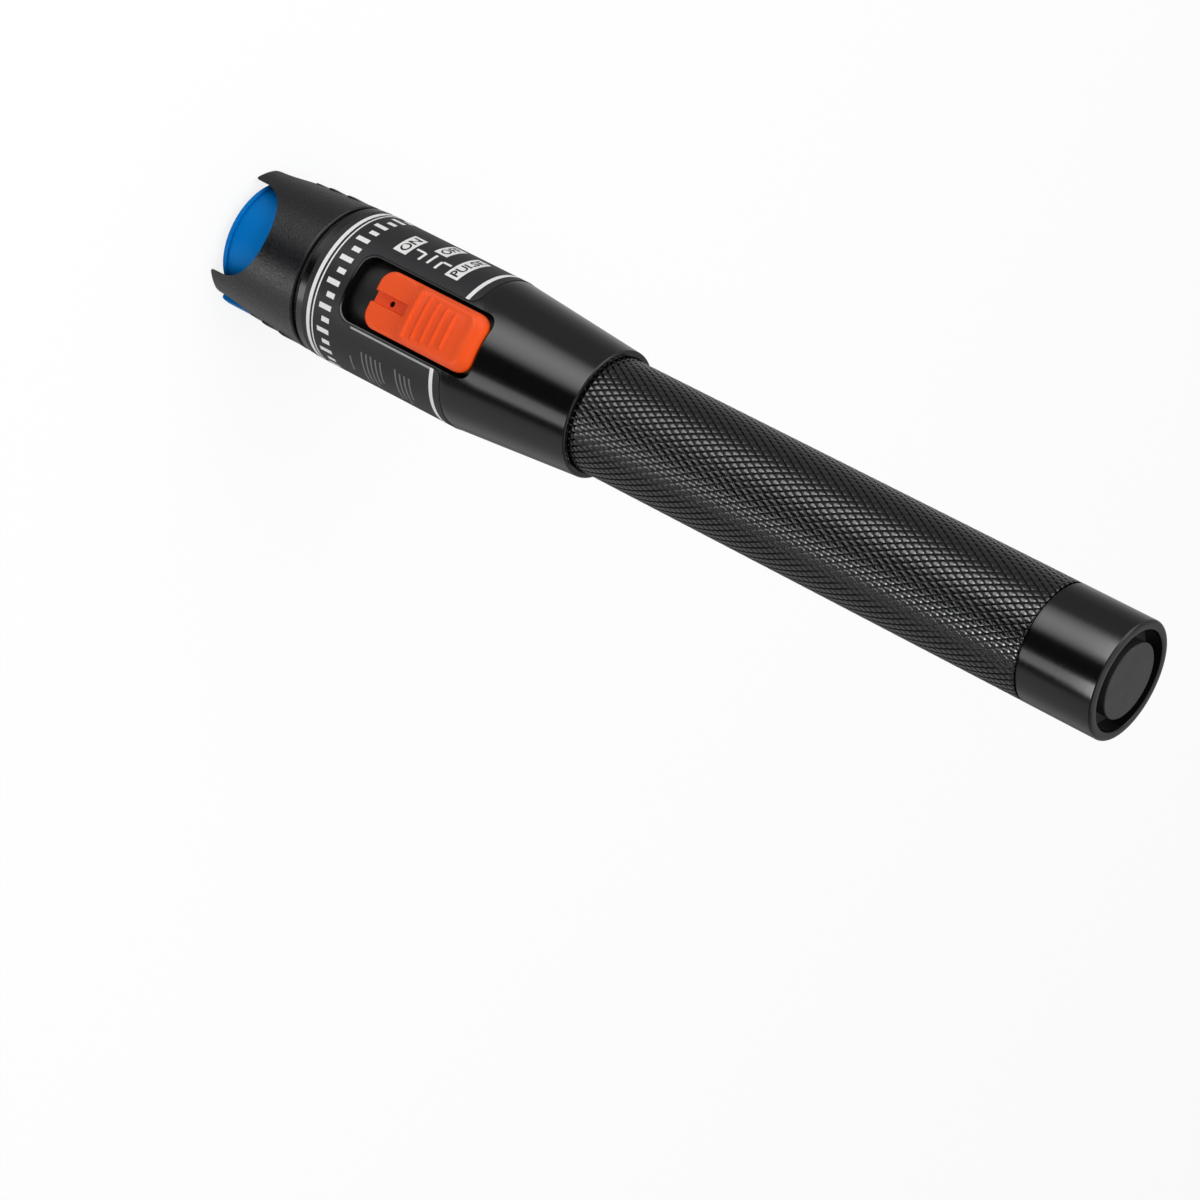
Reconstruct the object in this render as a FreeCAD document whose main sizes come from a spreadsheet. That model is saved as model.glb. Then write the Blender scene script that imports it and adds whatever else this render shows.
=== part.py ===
import FreeCAD, Part

import math
import os
import re

import Sketcher
from FreeCAD import Vector

# Pen-type visual fault locator: a red laser source for tracing fibre, fed by two AA cells.
# The pen stands on the three tips of its crown. Its axis is Z, the fibre port looks down
# and the battery tube points up. The slide switch faces -Y.

SIZES = [
    # outside, from the crown's tips to the tail
    ("crown_length", 19.5, "rubber crown, tips to back edge"),
    ("seam_width", 0.8, "dark seam between crown and head shell"),
    ("shell_length", 56.1, "head shell"),
    # crown
    ("crown_step", 0.05, "crown's back edge below the shell"),
    ("crown_taper", 1.1, "radius lost from back edge to tips"),
    ("crown_wall", 1.05, "rubber round the dust cap, at the tips"),
    ("crown_back_wall", 1.75, "rubber round the spigot"),
    ("crown_web", 1.5, "wall that seats on the spigot's end"),
    ("crown_web_width", 2.0, "that wall, inward from the bore"),
    ("scallop_width", 16.5, "front finger scallop between two prongs"),
    ("side_scallop_width", 17.9, "the two other scallops"),
    ("side_scallop_turn", 118.0, "middle of those, from the front one's"),
    ("scallop_round", 7.9, "round of the bottom corners of a scallop"),
    ("scallop_depth", 10.5, "scallop, from the tips"),
    ("scallop_flare", 1.0, "round where a scallop runs into a tip"),
    ("crown_edge", 0.35, "rounded edges of the crown"),
    ("grip_rib_height", 0.24, "grip steps moulded on the crown's sides"),
    ("grip_rib_pitch", 4.0, "spacing of those steps"),
    ("grip_rib_count", 3, "steps on each side"),
    ("grip_rib_start", 5.8, "first step, from the tips"),
    ("grip_rib_angle", 48.0, "sector that the steps cover"),
    ("grip_rib_turn", 14.0, "middle of that sector, behind the crown's side"),
    ("grip_rib_fade", 3.6, "length over which a step runs out"),
    # fits
    ("snug_gap", 0.03, "radial gap between pieces that stay together"),
    ("skin_overlap", 0.4, "depth by which a moulded detail grows out of its wall"),
    # nose piece
    ("spigot_length", 4.5, "spigot that carries the crown"),
    ("seam_depth", 0.8, "flange at the bottom of the seam"),
    ("nose_web", 2.5, "wall that carries the fibre port"),
    ("nose_plug_length", 2.6, "plug screwed into the head shell"),
    ("nose_plug_wall", 1.6, "wall of spigot and plug"),
    # fibre port
    ("ferrule_radius", 1.25, "bore for a 2.5 mm ferrule"),
    ("sleeve_wall", 0.36, "ceramic split sleeve"),
    ("sleeve_length", 9.4, "ceramic split sleeve"),
    ("sleeve_slit", 0.4, "slit along the sleeve"),
    ("sleeve_float", 0.03, "sleeve inside the adapter"),
    ("port_setback", 5.6, "mouth of the port, behind the tips"),
    ("port_lip", 0.8, "lip that keeps the sleeve in"),
    ("port_radius", 3.5, "barrel of the adapter"),
    ("port_flange_radius", 5.2, "flange against the nose web"),
    ("port_flange", 1.4, "thickness of that flange"),
    ("port_stem_radius", 3.0, "threaded stem through the nose web"),
    ("port_nut_gap", 0.7, "between lock nut and laser housing"),
    ("port_edge", 0.3, "rounded front of the barrel"),
    ("light_hole", 0.9, "hole that lets the beam through"),
    ("nut_across_flats", 7.6, "lock nut on the stem"),
    ("nut_thickness", 2.0, "lock nut on the stem"),
    # dust cap
    ("cap_setback", 1.5, "cap's lip, behind the tips"),
    ("cap_gap", 0.35, "between the cap's bead and the crown's bore"),
    ("cap_bead", 0.35, "bead proud of the skirt"),
    ("cap_lip", 0.9, "length of that bead"),
    ("cap_wall", 1.1, "skirt and face of the cap"),
    ("cap_end_gap", 0.8, "between the cap's open end and the crown's web"),
    ("cap_dish", 0.7, "face, sunk below the lip"),
    ("cap_grip_clearance", 0.05, "cap's sleeve on the adapter"),
    ("cap_grip_wall", 1.0, "cap's sleeve on the adapter"),
    ("cap_tab_reach", 0.4, "pull tab, out past the crown's tips"),
    ("cap_tab_setback", 0.6, "pull tab, behind the tips"),
    ("cap_tab_length", 5.0, "pull tab along the axis"),
    ("cap_tab_angle", 50.0, "sector that the tab covers"),
    ("cap_tab_turn", 12.5, "middle of that sector, behind the crown's side"),
    ("cap_tab_corner", 0.6, "rounded ends of the tab"),
    ("cap_edge", 0.3, "rounded edge of the lip"),
    ("cap_grip_length", 7.2, "cap's sleeve on the adapter"),
    # head shell
    ("shell_radius", 13.0, "straight part of the shell"),
    ("shell_straight", 32.3, "length of the straight part"),
    ("shell_wall", 2.0, "shell round the carrier"),
    ("shell_blend", 12.0, "radius between straight part and taper"),
    ("collar_wall", 0.87, "shell at the end of the taper"),
    ("collar_edge", 0.35, "rounded edge of the collar"),
    ("mouth_clearance", 0.25, "gap between collar and battery tube"),
    ("mouth_depth", 2.0, "recess that takes the tube's shoulder"),
    ("shoulder_step", 0.23, "smooth bore below the tube's radius"),
    ("seal_length", 2.9, "smooth bore round the seal ring"),
    ("thread_step", 0.3, "thread below the neck behind it"),
    ("thread_length", 7.4, "threaded bore in the shell"),
    ("thread_clearance", 0.05, "radial play of the thread"),
    ("window_setback", 9.45, "switch window, behind the shell's front"),
    ("window_length", 27.6, "switch window"),
    ("window_width", 11.4, "switch window"),
    ("window_corner", 2.2, "corners of the window"),
    # label film
    ("film_thickness", 0.1, "label wrapped round the shell"),
    ("film_setback", 1.7, "film, behind the shell's front"),
    ("film_end_gap", 0.6, "film, ahead of the taper"),
    ("film_margin", 0.35, "film kept back from the window"),
    ("film_corner", 1.5, "corners of the film beside the window"),
    # slide switch
    ("slider_setback", 4.75, "slider's front end, behind the window's"),
    ("slider_end_gap", 0.35, "slider's back end in the window"),
    ("slider_side_gap", 0.65, "slider's sides in the window"),
    ("slider_corner", 2.6, "corners of the slider in plan"),
    ("slider_foot_gap", 0.35, "slider's underside above the tray"),
    ("slider_step_drop", 0.05, "low front part, below the shell's surface"),
    ("slider_rise", 1.15, "thumb pad, above the shell's surface"),
    ("slider_ramp", 7.3, "start of the ramp, from the front end"),
    ("slider_ramp_length", 1.4, "ramp up to the thumb pad"),
    ("slider_edge", 0.9, "rounded edges of the thumb pad"),
    ("slider_rib_pitch", 1.9, "ribs across the thumb pad"),
    ("slider_rib_count", 5, "ribs across the thumb pad"),
    ("slider_rib_length", 7.0, "ribs across the thumb pad"),
    ("slider_rib_width", 0.7, "ribs across the thumb pad"),
    ("slider_rib_height", 0.42, "ribs across the thumb pad"),
    ("slider_notch_width", 1.7, "slot in the low front part"),
    ("slider_notch_length", 7.0, "slot in the low front part"),
    ("slider_notch_depth", 0.9, "slot in the low front part"),
    ("slider_hole_radius", 0.5, "sight hole in that slot"),
    ("slider_hole_setback", 3.5, "sight hole, from the front end"),
    ("slider_leg_width", 5.0, "fork that holds the switch knob"),
    ("slider_leg_length", 5.2, "fork that holds the switch knob"),
    ("slider_leg_gap", 2.15, "fork above the switch body"),
    ("slider_leg_setback", 14.1, "middle of the fork, from the front end"),
    ("slider_back_corner", 2.0, "back corners of the slider in plan"),
    ("slider_bend", 1.2, "round at both ends of the ramp"),
    ("detent_spacing", 1.83, "between the three switch positions"),
    ("leg_clearance", 0.4, "fork in the tray's slot"),
    ("tray_wall", 1.1, "black tray under the slider"),
    ("tray_angle", 116.0, "sector that the tray covers"),
    ("tray_gap", 1.0, "angle between tray and carrier, each side"),
    # board and switch
    ("board_side_gap", 1.27, "board to the carrier's wall"),
    ("board_thickness", 1.2, "circuit board"),
    ("board_front_gap", 3.1, "laser housing to board"),
    ("board_end_gap", 1.6, "board to the carrier's back wall"),
    ("switch_width", 4.4, "slide switch body"),
    ("switch_length", 11.0, "slide switch body"),
    ("switch_height", 5.0, "slide switch body"),
    ("knob_width", 2.0, "knob of the slide switch"),
    ("knob_length", 1.6, "knob of the slide switch"),
    ("knob_top_gap", 2.15, "knob below the slider's underside"),
    ("knob_root", 0.8, "knob inside the slide switch's body"),
    ("knob_clearance", 0.06, "knob in the slider's fork"),
    ("knob_slot", 0.15, "knob in its own slot"),
    ("chip_width", 5.0, "driver chip"),
    ("chip_length", 6.0, "driver chip"),
    ("chip_height", 1.5, "driver chip"),
    ("capacitor_radius", 2.0, "capacitor beside the chip"),
    ("capacitor_height", 5.4, "capacitor beside the chip"),
    # laser
    ("laser_radius", 4.6, "brass laser housing"),
    ("laser_length", 15.4, "brass laser housing"),
    ("laser_bore_radius", 2.6, "bore round the lens"),
    ("laser_socket_depth", 1.6, "socket for the adapter's stem"),
    ("lens_clearance", 0.05, "focusing lens in its bore"),
    ("lens_edge", 0.7, "rim thickness of the lens"),
    ("lens_crown", 0.7, "height of its curved face"),
    ("lens_stop", 1.6, "hole in front of the lens"),
    ("lens_seat", 4.0, "lens, behind the housing's front"),
    ("diode_ledge", 0.2, "flange of the diode can, past the lens's bore"),
    ("diode_flange", 1.2, "flange of the diode can"),
    ("diode_can_radius", 1.9, "cap of the diode can"),
    ("diode_can_length", 2.4, "cap of the diode can"),
    ("diode_seat", 9.0, "diode flange, behind the housing's front"),
    ("diode_clearance", 0.05, "diode in its counterbore"),
    ("pin_radius", 0.22, "pins of the diode"),
    ("pin_spread", 1.0, "pins of the diode, from the axis"),
    ("ring_thickness", 1.4, "screwed ring behind the diode"),
    ("ring_hole_radius", 1.6, "screwed ring behind the diode"),
    # carrier
    ("carrier_wall", 1.5, "moulded carrier inside the shell"),
    ("carrier_front_wall", 2.4, "wall round the laser housing"),
    ("carrier_back_wall", 1.6, "wall behind the circuit board"),
    ("carrier_clearance", 0.3, "between nose plug and carrier"),
    ("carrier_tail_clearance", 0.2, "between carrier and the shell's step"),
    ("rail_land", 1.6, "board rails, inward from the screws"),
    ("rail_setback", 0.43, "board rails, inward from the carrier's outside"),
    ("rail_depth", 5.0, "board rails below the board"),
    ("screw_edge", 1.4, "board screws, from the board's sides"),
    ("screw_inset", 2.6, "board screws, from the board's ends"),
    ("screw_radius", 0.8, "board screws"),
    ("screw_head_radius", 1.5, "board screws"),
    ("screw_head", 0.9, "board screws"),
    ("screw_length", 4.5, "board screws"),
    ("screw_clearance", 0.1, "board screws in the board"),
    ("contact_radius", 4.6, "front battery contact"),
    ("contact_thickness", 0.35, "front battery contact"),
    ("contact_tab_width", 2.4, "tab to the circuit board"),
    ("contact_slot", 0.1, "tab in the carrier's back wall"),
    # battery tube
    ("tube_wall", 2.23, "knurled battery tube"),
    ("cell_clearance", 0.45, "cells in the tube"),
    ("neck_setback", 0.6, "neck, behind the thread's start"),
    ("shoulder_clearance", 0.05, "tube's shoulder on the shell's step"),
    ("neck_clearance", 0.3, "neck in the smooth bore"),
    ("neck_step", 0.3, "neck's larger part, behind the threaded bore"),
    ("ring_section", 0.57, "rubber seal ring"),
    ("ring_clearance", 0.06, "seal ring in the smooth bore"),
    ("ring_setback", 1.3, "seal ring, ahead of the shoulder"),
    ("ring_groove_slack", 0.12, "groove wider than the seal ring"),
    ("tail_rim", 1.48, "rim round the open end of the tube"),
    ("tail_bore_depth", 5.2, "open end of the tube"),
    ("tail_edge", 0.5, "rounded rim at the tail"),
    ("tail_rim_edge", 0.15, "inner edge of that rim"),
    # tail plug and spring
    ("plug_groove_width", 2.1, "ring groove between rim and disc"),
    ("plug_groove_depth", 3.0, "ring groove round the disc"),
    ("plug_edge", 0.2, "edge of the disc"),
    ("plug_fit", 0.02, "plug in the tube's open end"),
    ("spring_length", 5.85, "tail spring, pressed by the cells"),
    ("spring_radius", 5.2, "tail spring at the plug"),
    ("spring_wire", 0.4, "radius of the spring's wire"),
    ("spring_turns", 4, "tail spring"),
    # cells
    ("cell_radius", 7.15, "AA cell"),
    ("cell_length", 49.2, "AA cell without its button"),
    ("cell_button_radius", 2.75, "AA cell"),
    ("cell_button", 1.3, "AA cell"),
    ("cell_edge", 0.6, "AA cell"),
    ("cell_gap", 0.05, "between the cells and what they press on"),
]

# What fits or lines up with another piece is worked out from it.
DERIVED = [
    ("shell_bore_radius", "shell_radius - shell_wall"),
    ("crown_back_radius", "shell_radius - crown_step"),
    ("crown_tip_radius", "crown_back_radius - crown_taper"),
    ("crown_bore_radius", "crown_tip_radius - crown_wall"),
    ("crown_web_radius", "crown_bore_radius - crown_web_width"),
    ("crown_bore_depth", "crown_length - spigot_length - crown_web"),
    ("spigot_radius", "crown_back_radius - crown_back_wall"),
    ("seam_radius", "shell_radius - seam_depth"),
    ("cap_lip_radius", "crown_bore_radius - cap_gap"),
    ("cap_radius", "cap_lip_radius - cap_bead"),
    ("cap_tab_radius", "crown_tip_radius + cap_tab_reach"),
    ("cap_length", "crown_bore_depth - cap_setback - cap_end_gap"),
    ("port_stem_length", "nose_web + nut_thickness + port_nut_gap + laser_socket_depth"),
    ("lens_radius", "laser_bore_radius - lens_clearance"),
    ("diode_radius", "laser_bore_radius + diode_ledge"),
    ("slider_length", "window_length - slider_setback - slider_end_gap"),
    ("slider_width", "window_width - 2 * slider_side_gap"),
    ("slider_foot", "shell_bore_radius + slider_foot_gap"),
    ("slider_step", "shell_radius - slider_step_drop"),
    ("slider_top", "shell_radius + slider_rise"),
    ("slider_leg_reach", "slider_foot - board_thickness / 2 - switch_height - slider_leg_gap"),
    ("knob_height", "slider_foot - board_thickness / 2 - switch_height - knob_top_gap"),
    ("board_width", "2 * (shell_bore_radius - snug_gap - carrier_wall - board_side_gap)"),
    ("screw_spacing_x", "board_width - 2 * screw_edge"),
    ("rail_inner", "screw_spacing_x / 2 - rail_land"),
    ("rail_outer",
     "sqrt((shell_bore_radius - snug_gap) ^ 2 - (board_thickness / 2 + rail_depth) ^ 2) - rail_setback"),
    ("tube_bore_radius", "cell_radius + cell_clearance"),
    ("grip_radius", "tube_bore_radius + tube_wall"),
    ("collar_radius", "grip_radius + mouth_clearance + collar_wall"),
    ("seal_radius", "grip_radius - shoulder_step"),
    ("neck_radius", "seal_radius - neck_clearance"),
    ("thread_radius", "neck_radius - thread_step"),
    ("tail_bore_radius", "grip_radius - tail_rim"),
    ("plug_boss_radius", "tail_bore_radius - plug_groove_width"),
]

doc = FreeCAD.newDocument("fault_locator")
sheet = doc.addObject("Spreadsheet::Sheet", "Sizes")
for row, (alias, size, meaning) in enumerate(SIZES, 1):
    sheet.set(f"A{row}", alias.replace("_", " "))
    sheet.set(f"B{row}", str(size))
    sheet.setAlias(f"B{row}", alias)
    sheet.set(f"C{row}", meaning)
for row, (alias, formula) in enumerate(DERIVED, len(SIZES) + 2):
    sheet.set(f"A{row}", alias.replace("_", " "))
    sheet.setAlias(f"B{row}", alias)
    sheet.set(f"B{row}", "=" + formula)
doc.recompute()

ALIASES = {entry[0] for entry in SIZES + DERIVED}
NAME = re.compile(r"[a-z][a-z_0-9]*")


def bound(expression):
    """The expression with each size read from the sheet."""
    return NAME.sub(lambda m: "Sizes." + m[0] if m[0] in ALIASES else m[0], str(expression))


def number(expression):
    return float(sheet.evalExpression(str(expression)))


# ---- helpers: sketches ----


def new_body(label):
    body = doc.addObject("PartDesign::Body", label)
    body.Label = label
    return body


def origin_plane(body, role):
    return next(f for f in body.Origin.OriginFeatures if f.Role == role)


def new_sketch(body, role, offset="0"):
    """A sketch on one of the body's own origin planes, moved along the plane's normal."""
    sketch = body.newObject("Sketcher::SketchObject", "Sketch")
    sketch.AttachmentSupport = [(origin_plane(body, role), "")]
    sketch.MapMode = "FlatFace"
    sketch.setExpression("AttachmentOffset.Base.z", bound(offset))
    return sketch


def bind(sketch, constraint, expression):
    index = sketch.addConstraint(constraint)
    sketch.setExpression(f"Constraints[{index}]", bound(expression))


def place_point(sketch, geometry, position, x, y):
    """Holds a point of the sketch at (x, y), both expressions."""
    bind(sketch, Sketcher.Constraint("DistanceX", -1, 1, geometry, position, number(x)), x)
    bind(sketch, Sketcher.Constraint("DistanceY", -1, 1, geometry, position, number(y)), y)


def draw_outline(sketch, corners):
    """A closed outline. Each corner is (x, y) or, where it is rounded, (x, y, radius)."""
    points = [Vector(number(c[0]), number(c[1]), 0) for c in corners]
    count = len(corners)
    starts, ends, rounds = [None] * count, [None] * count, [None] * count
    for i, corner in enumerate(corners):
        into = (points[i] - points[i - 1]).normalize()
        out = (points[(i + 1) % count] - points[i]).normalize()
        if len(corner) == 3:
            turn = math.atan2(into.x * out.y - into.y * out.x, into.dot(out))
            reach = number(corner[2]) * math.tan(abs(turn) / 2)
            ends[i - 1], starts[i] = points[i] - into * reach, points[i] + out * reach
            side = Vector(-into.y, into.x, 0) * math.copysign(number(corner[2]), turn)
            rounds[i] = (ends[i - 1] + side, turn)
        else:
            ends[i - 1] = starts[i] = points[i]
    lines = [
        sketch.addGeometry(Part.LineSegment(starts[i], ends[i]), False) for i in range(count)
    ]
    for i, corner in enumerate(corners):
        before, after = lines[i - 1], lines[i]
        if rounds[i] is None:
            sketch.addConstraint(Sketcher.Constraint("Coincident", before, 2, after, 1))
            place_point(sketch, after, 1, corner[0], corner[1])
            continue
        centre, turn = rounds[i]
        first, last = (ends[i - 1], starts[i]) if turn > 0 else (starts[i], ends[i - 1])
        angles = [math.atan2(p.y - centre.y, p.x - centre.x) for p in (first, last)]
        circle = Part.Circle(centre, Vector(0, 0, 1), number(corner[2]))
        arc = sketch.addGeometry(Part.ArcOfCircle(circle, angles[0], angles[1]), False)
        tip = sketch.addGeometry(Part.Point(points[i]), True)
        place_point(sketch, tip, 1, corner[0], corner[1])
        sketch.addConstraint(Sketcher.Constraint("PointOnObject", tip, 1, before))
        sketch.addConstraint(Sketcher.Constraint("PointOnObject", tip, 1, after))
        near, far = (1, 2) if turn > 0 else (2, 1)
        sketch.addConstraint(Sketcher.Constraint("Tangent", before, 2, arc, near))
        sketch.addConstraint(Sketcher.Constraint("Tangent", after, 1, arc, far))
        bind(sketch, Sketcher.Constraint("Radius", arc, number(corner[2])), corner[2])


def draw_circle(sketch, x, y, radius):
    centre = Vector(number(x), number(y), 0)
    circle = sketch.addGeometry(Part.Circle(centre, Vector(0, 0, 1), number(radius)), False)
    place_point(sketch, circle, 3, x, y)
    bind(sketch, Sketcher.Constraint("Radius", circle, number(radius)), radius)


# ---- helpers: features ----


def revolve(body, corners, angle="360", groove=False, role="XZ_Plane"):
    """Turns an outline of (radius, height) corners about Z, evenly to both sides of its plane."""
    sketch = new_sketch(body, role)
    draw_outline(sketch, corners)
    kind = "PartDesign::Groove" if groove else "PartDesign::Revolution"
    feature = body.newObject(kind, "Turned")
    feature.Profile = sketch
    feature.ReferenceAxis = (sketch, ["V_Axis"])
    feature.setExpression("Angle", bound(angle))
    feature.Midplane = angle != "360"
    return feature


def turn_sketch(feature, angle):
    """Turns a feature's upright sketch about Z."""
    sketch = feature.Profile[0]
    sketch.AttachmentOffset = FreeCAD.Placement(Vector(), FreeCAD.Rotation(Vector(0, 1, 0), angle))


def turned(label, corners):
    body = new_body(label)
    revolve(body, corners)
    return body


def push(body, kind, sketch, length, reverse, through=False, both=False):
    feature = body.newObject(kind, "Pushed")
    feature.Profile = sketch
    feature.Reversed = reverse
    feature.Midplane = both
    if through:
        feature.Type = "ThroughAll"
    else:
        feature.setExpression("Length", bound(length))
    return feature


def pad(body, sketch, length, reverse=False, both=False):
    return push(body, "PartDesign::Pad", sketch, length, reverse, both=both)


def pocket(body, sketch, length="1", reverse=False, through=False, both=False):
    return push(body, "PartDesign::Pocket", sketch, length, reverse, through, both)


def box_corners(low_x, high_x, low_y, high_y, corner=None):
    """Corners of a rectangle, rounded if a radius is given."""
    spots = [(low_x, low_y), (high_x, low_y), (high_x, high_y), (low_x, high_y)]
    return [spot + (corner,) if corner else spot for spot in spots]


def round_off(body, size, wanted, kind="PartDesign::Fillet"):
    """Rounds or bevels the edges of the body's last feature that the test wants."""
    doc.recompute()
    base = body.Tip
    names = [f"Edge{i}" for i, edge in enumerate(base.Shape.Edges, 1) if wanted(edge)]
    feature = body.newObject(kind, "Eased")
    feature.Base = (base, names)
    feature.setExpression("Radius" if kind.endswith("Fillet") else "Size", bound(size))
    return feature


def ring_at(radius, height):
    """A test for the circular edge of that radius and height."""

    def wanted(edge):
        if not isinstance(edge.Curve, Part.Circle):
            return False
        middle = edge.Curve.Center
        near = abs(edge.Curve.Radius - number(radius)) < 1e-4
        return near and abs(middle.z - number(height)) < 1e-4 and math.hypot(middle.x, middle.y) < 1e-4

    return wanted


# ---- stations along the axis, from the crown's tips ----

SHELL_FRONT = "(crown_length + seam_width)"
SHELL_BACK = f"({SHELL_FRONT} + shell_length)"
TAPER_START = f"({SHELL_FRONT} + shell_straight)"
MOUTH_FLOOR = f"({SHELL_BACK} - mouth_depth)"
SEAL_START = f"({MOUTH_FLOOR} - seal_length)"
THREAD_START = f"({SEAL_START} - thread_length)"
SPIGOT_FRONT = "(crown_length - spigot_length)"
WEB_BACK = f"({SPIGOT_FRONT} + nose_web)"
PLUG_BACK = f"({SHELL_FRONT} + nose_plug_length)"
WINDOW_FRONT = f"({SHELL_FRONT} + window_setback)"
WINDOW_BACK = f"({WINDOW_FRONT} + window_length)"
SLIDER_FRONT = f"({WINDOW_FRONT} + slider_setback)"
KNOB_REST = f"({SLIDER_FRONT} + slider_leg_setback)"
SWITCH_MIDDLE = f"({KNOB_REST} - detent_spacing)"
CARRIER_FRONT = f"({PLUG_BACK} + carrier_clearance)"
CARRIER_BACK = f"({THREAD_START} - carrier_tail_clearance)"
STEM_BACK = f"({SPIGOT_FRONT} + port_stem_length)"
LASER_FRONT = f"({STEM_BACK} - laser_socket_depth)"
BOARD_FRONT = f"({LASER_FRONT} + laser_length + board_front_gap)"
BOARD_BACK = f"({CARRIER_BACK} - carrier_back_wall - board_end_gap)"
LENS_FRONT = f"({LASER_FRONT} + lens_seat)"
DIODE_FRONT = f"({LASER_FRONT} + diode_seat)"
DIODE_BACK = f"({DIODE_FRONT} + diode_flange)"
BOARD_FACE = "(board_thickness / 2)"
CELL_FRONT = f"({CARRIER_BACK} + contact_thickness + cell_gap)"
CELL_STEP = "(cell_length + cell_button + cell_gap)"
CELLS_BACK = f"({CELL_FRONT} + 2 * {CELL_STEP})"
SHOULDER = f"({MOUTH_FLOOR} + shoulder_clearance)"
PLUG_FRONT = f"({CELLS_BACK} + spring_length + cell_gap)"
TAIL_END = f"({PLUG_FRONT} + tail_bore_depth)"


# ---- crown and nose ----


def crown_radius(height):
    """Outer radius of the crown at a height."""
    return f"(crown_tip_radius + (crown_back_radius - crown_tip_radius) * {height} / crown_length)"


def crown_boot():
    body = turned("crown_boot", [
        ("crown_bore_radius", "0", "crown_edge"),
        ("crown_tip_radius", "0", "crown_edge"),
        ("crown_back_radius", "crown_length", "crown_edge"),
        ("spigot_radius + snug_gap", "crown_length"),
        ("spigot_radius + snug_gap", SPIGOT_FRONT),
        ("crown_web_radius", SPIGOT_FRONT),
        ("crown_web_radius", "crown_bore_depth"),
        ("crown_bore_radius", "crown_bore_depth"),
    ])
    for step in range(int(number("grip_rib_count"))):
        low = f"(grip_rib_start + {step} * grip_rib_pitch)"
        high = f"({low} + grip_rib_fade)"
        outline = [
            (f"{crown_radius(low)} - skin_overlap", low),
            (f"{crown_radius(low)} + grip_rib_height", low, "crown_edge / 2"),
            (f"{crown_radius(high)} - skin_overlap / 20", high),
            (f"{crown_radius(high)} - skin_overlap", high),
        ]
        for turn in (number("grip_rib_turn"), 180 - number("grip_rib_turn")):
            turn_sketch(revolve(body, outline, "grip_rib_angle"), turn)
    side = number("side_scallop_turn")
    for turn, width in ((0, "scallop_width"), (side, "side_scallop_width"), (-side, "side_scallop_width")):
        across = f"({width} / 2)"
        beyond = f"({across} + 2 * scallop_flare)"
        sketch = new_sketch(body, "XZ_Plane")
        draw_outline(sketch, [
            (f"-{beyond}", "-crown_edge"),
            (beyond, "-crown_edge"),
            (beyond, "0"),
            (across, "0", "scallop_flare"),
            (across, "scallop_depth", "scallop_round"),
            (f"-{across}", "scallop_depth", "scallop_round"),
            (f"-{across}", "0", "scallop_flare"),
            (f"-{beyond}", "0"),
        ])
        turn_sketch(pocket(body, sketch, reverse=True, through=True), turn)
    return body


def nose_piece():
    return turned("nose_piece", [
        ("port_stem_radius + snug_gap", SPIGOT_FRONT),
        ("spigot_radius", SPIGOT_FRONT),
        ("spigot_radius", "crown_length"),
        ("seam_radius", "crown_length"),
        ("seam_radius", SHELL_FRONT),
        ("shell_bore_radius - snug_gap", SHELL_FRONT),
        ("shell_bore_radius - snug_gap", PLUG_BACK),
        ("shell_bore_radius - nose_plug_wall", PLUG_BACK),
        ("shell_bore_radius - nose_plug_wall", WEB_BACK),
        ("port_stem_radius + snug_gap", WEB_BACK),
    ])


def dust_cap():
    face = "(cap_setback + cap_dish)"
    lip_back = "(cap_setback + cap_lip)"
    back = "(cap_setback + cap_length)"
    grip = "(port_radius + cap_grip_clearance)"
    body = turned("dust_cap", [
        ("0", face),
        ("cap_lip_radius - cap_wall", face),
        ("cap_lip_radius - cap_wall", "cap_setback", "cap_edge"),
        ("cap_lip_radius", "cap_setback", "cap_edge"),
        ("cap_lip_radius", lip_back),
        ("cap_radius", lip_back),
        ("cap_radius", back),
        ("cap_radius - cap_wall", back),
        ("cap_radius - cap_wall", f"{face} + cap_wall"),
        (f"{grip} + cap_grip_wall", f"{face} + cap_wall"),
        (f"{grip} + cap_grip_wall", f"{face} + cap_wall + cap_grip_length"),
        (grip, f"{face} + cap_wall + cap_grip_length"),
        (grip, f"{face} + cap_wall"),
        ("0", f"{face} + cap_wall"),
    ])
    tab_back = "(cap_tab_setback + cap_tab_length)"
    tab = revolve(body, [
        ("cap_radius - skin_overlap", "cap_tab_setback"),
        ("cap_tab_radius", "cap_tab_setback", "cap_tab_corner"),
        ("cap_tab_radius", tab_back, "cap_tab_corner"),
        ("cap_radius - skin_overlap", tab_back),
    ], "cap_tab_angle")
    turn_sketch(tab, number("cap_tab_turn"))
    return body


# ---- fibre port and laser ----


def ferrule_adapter():
    mouth = "(ferrule_radius + sleeve_float)"
    bore = "(ferrule_radius + sleeve_wall + sleeve_float)"
    sleeve_front = "(port_setback + port_lip)"
    sleeve_back = f"({sleeve_front} + sleeve_length + 2 * sleeve_float)"
    return turned("ferrule_adapter", [
        (mouth, "port_setback"),
        ("port_radius", "port_setback", "port_edge"),
        ("port_radius", f"{SPIGOT_FRONT} - port_flange"),
        ("port_flange_radius", f"{SPIGOT_FRONT} - port_flange"),
        ("port_flange_radius", SPIGOT_FRONT),
        ("port_stem_radius", SPIGOT_FRONT),
        ("port_stem_radius", STEM_BACK),
        ("light_hole", STEM_BACK),
        ("light_hole", sleeve_back),
        (bore, sleeve_back),
        (bore, sleeve_front),
        (mouth, sleeve_front),
    ])


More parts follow.
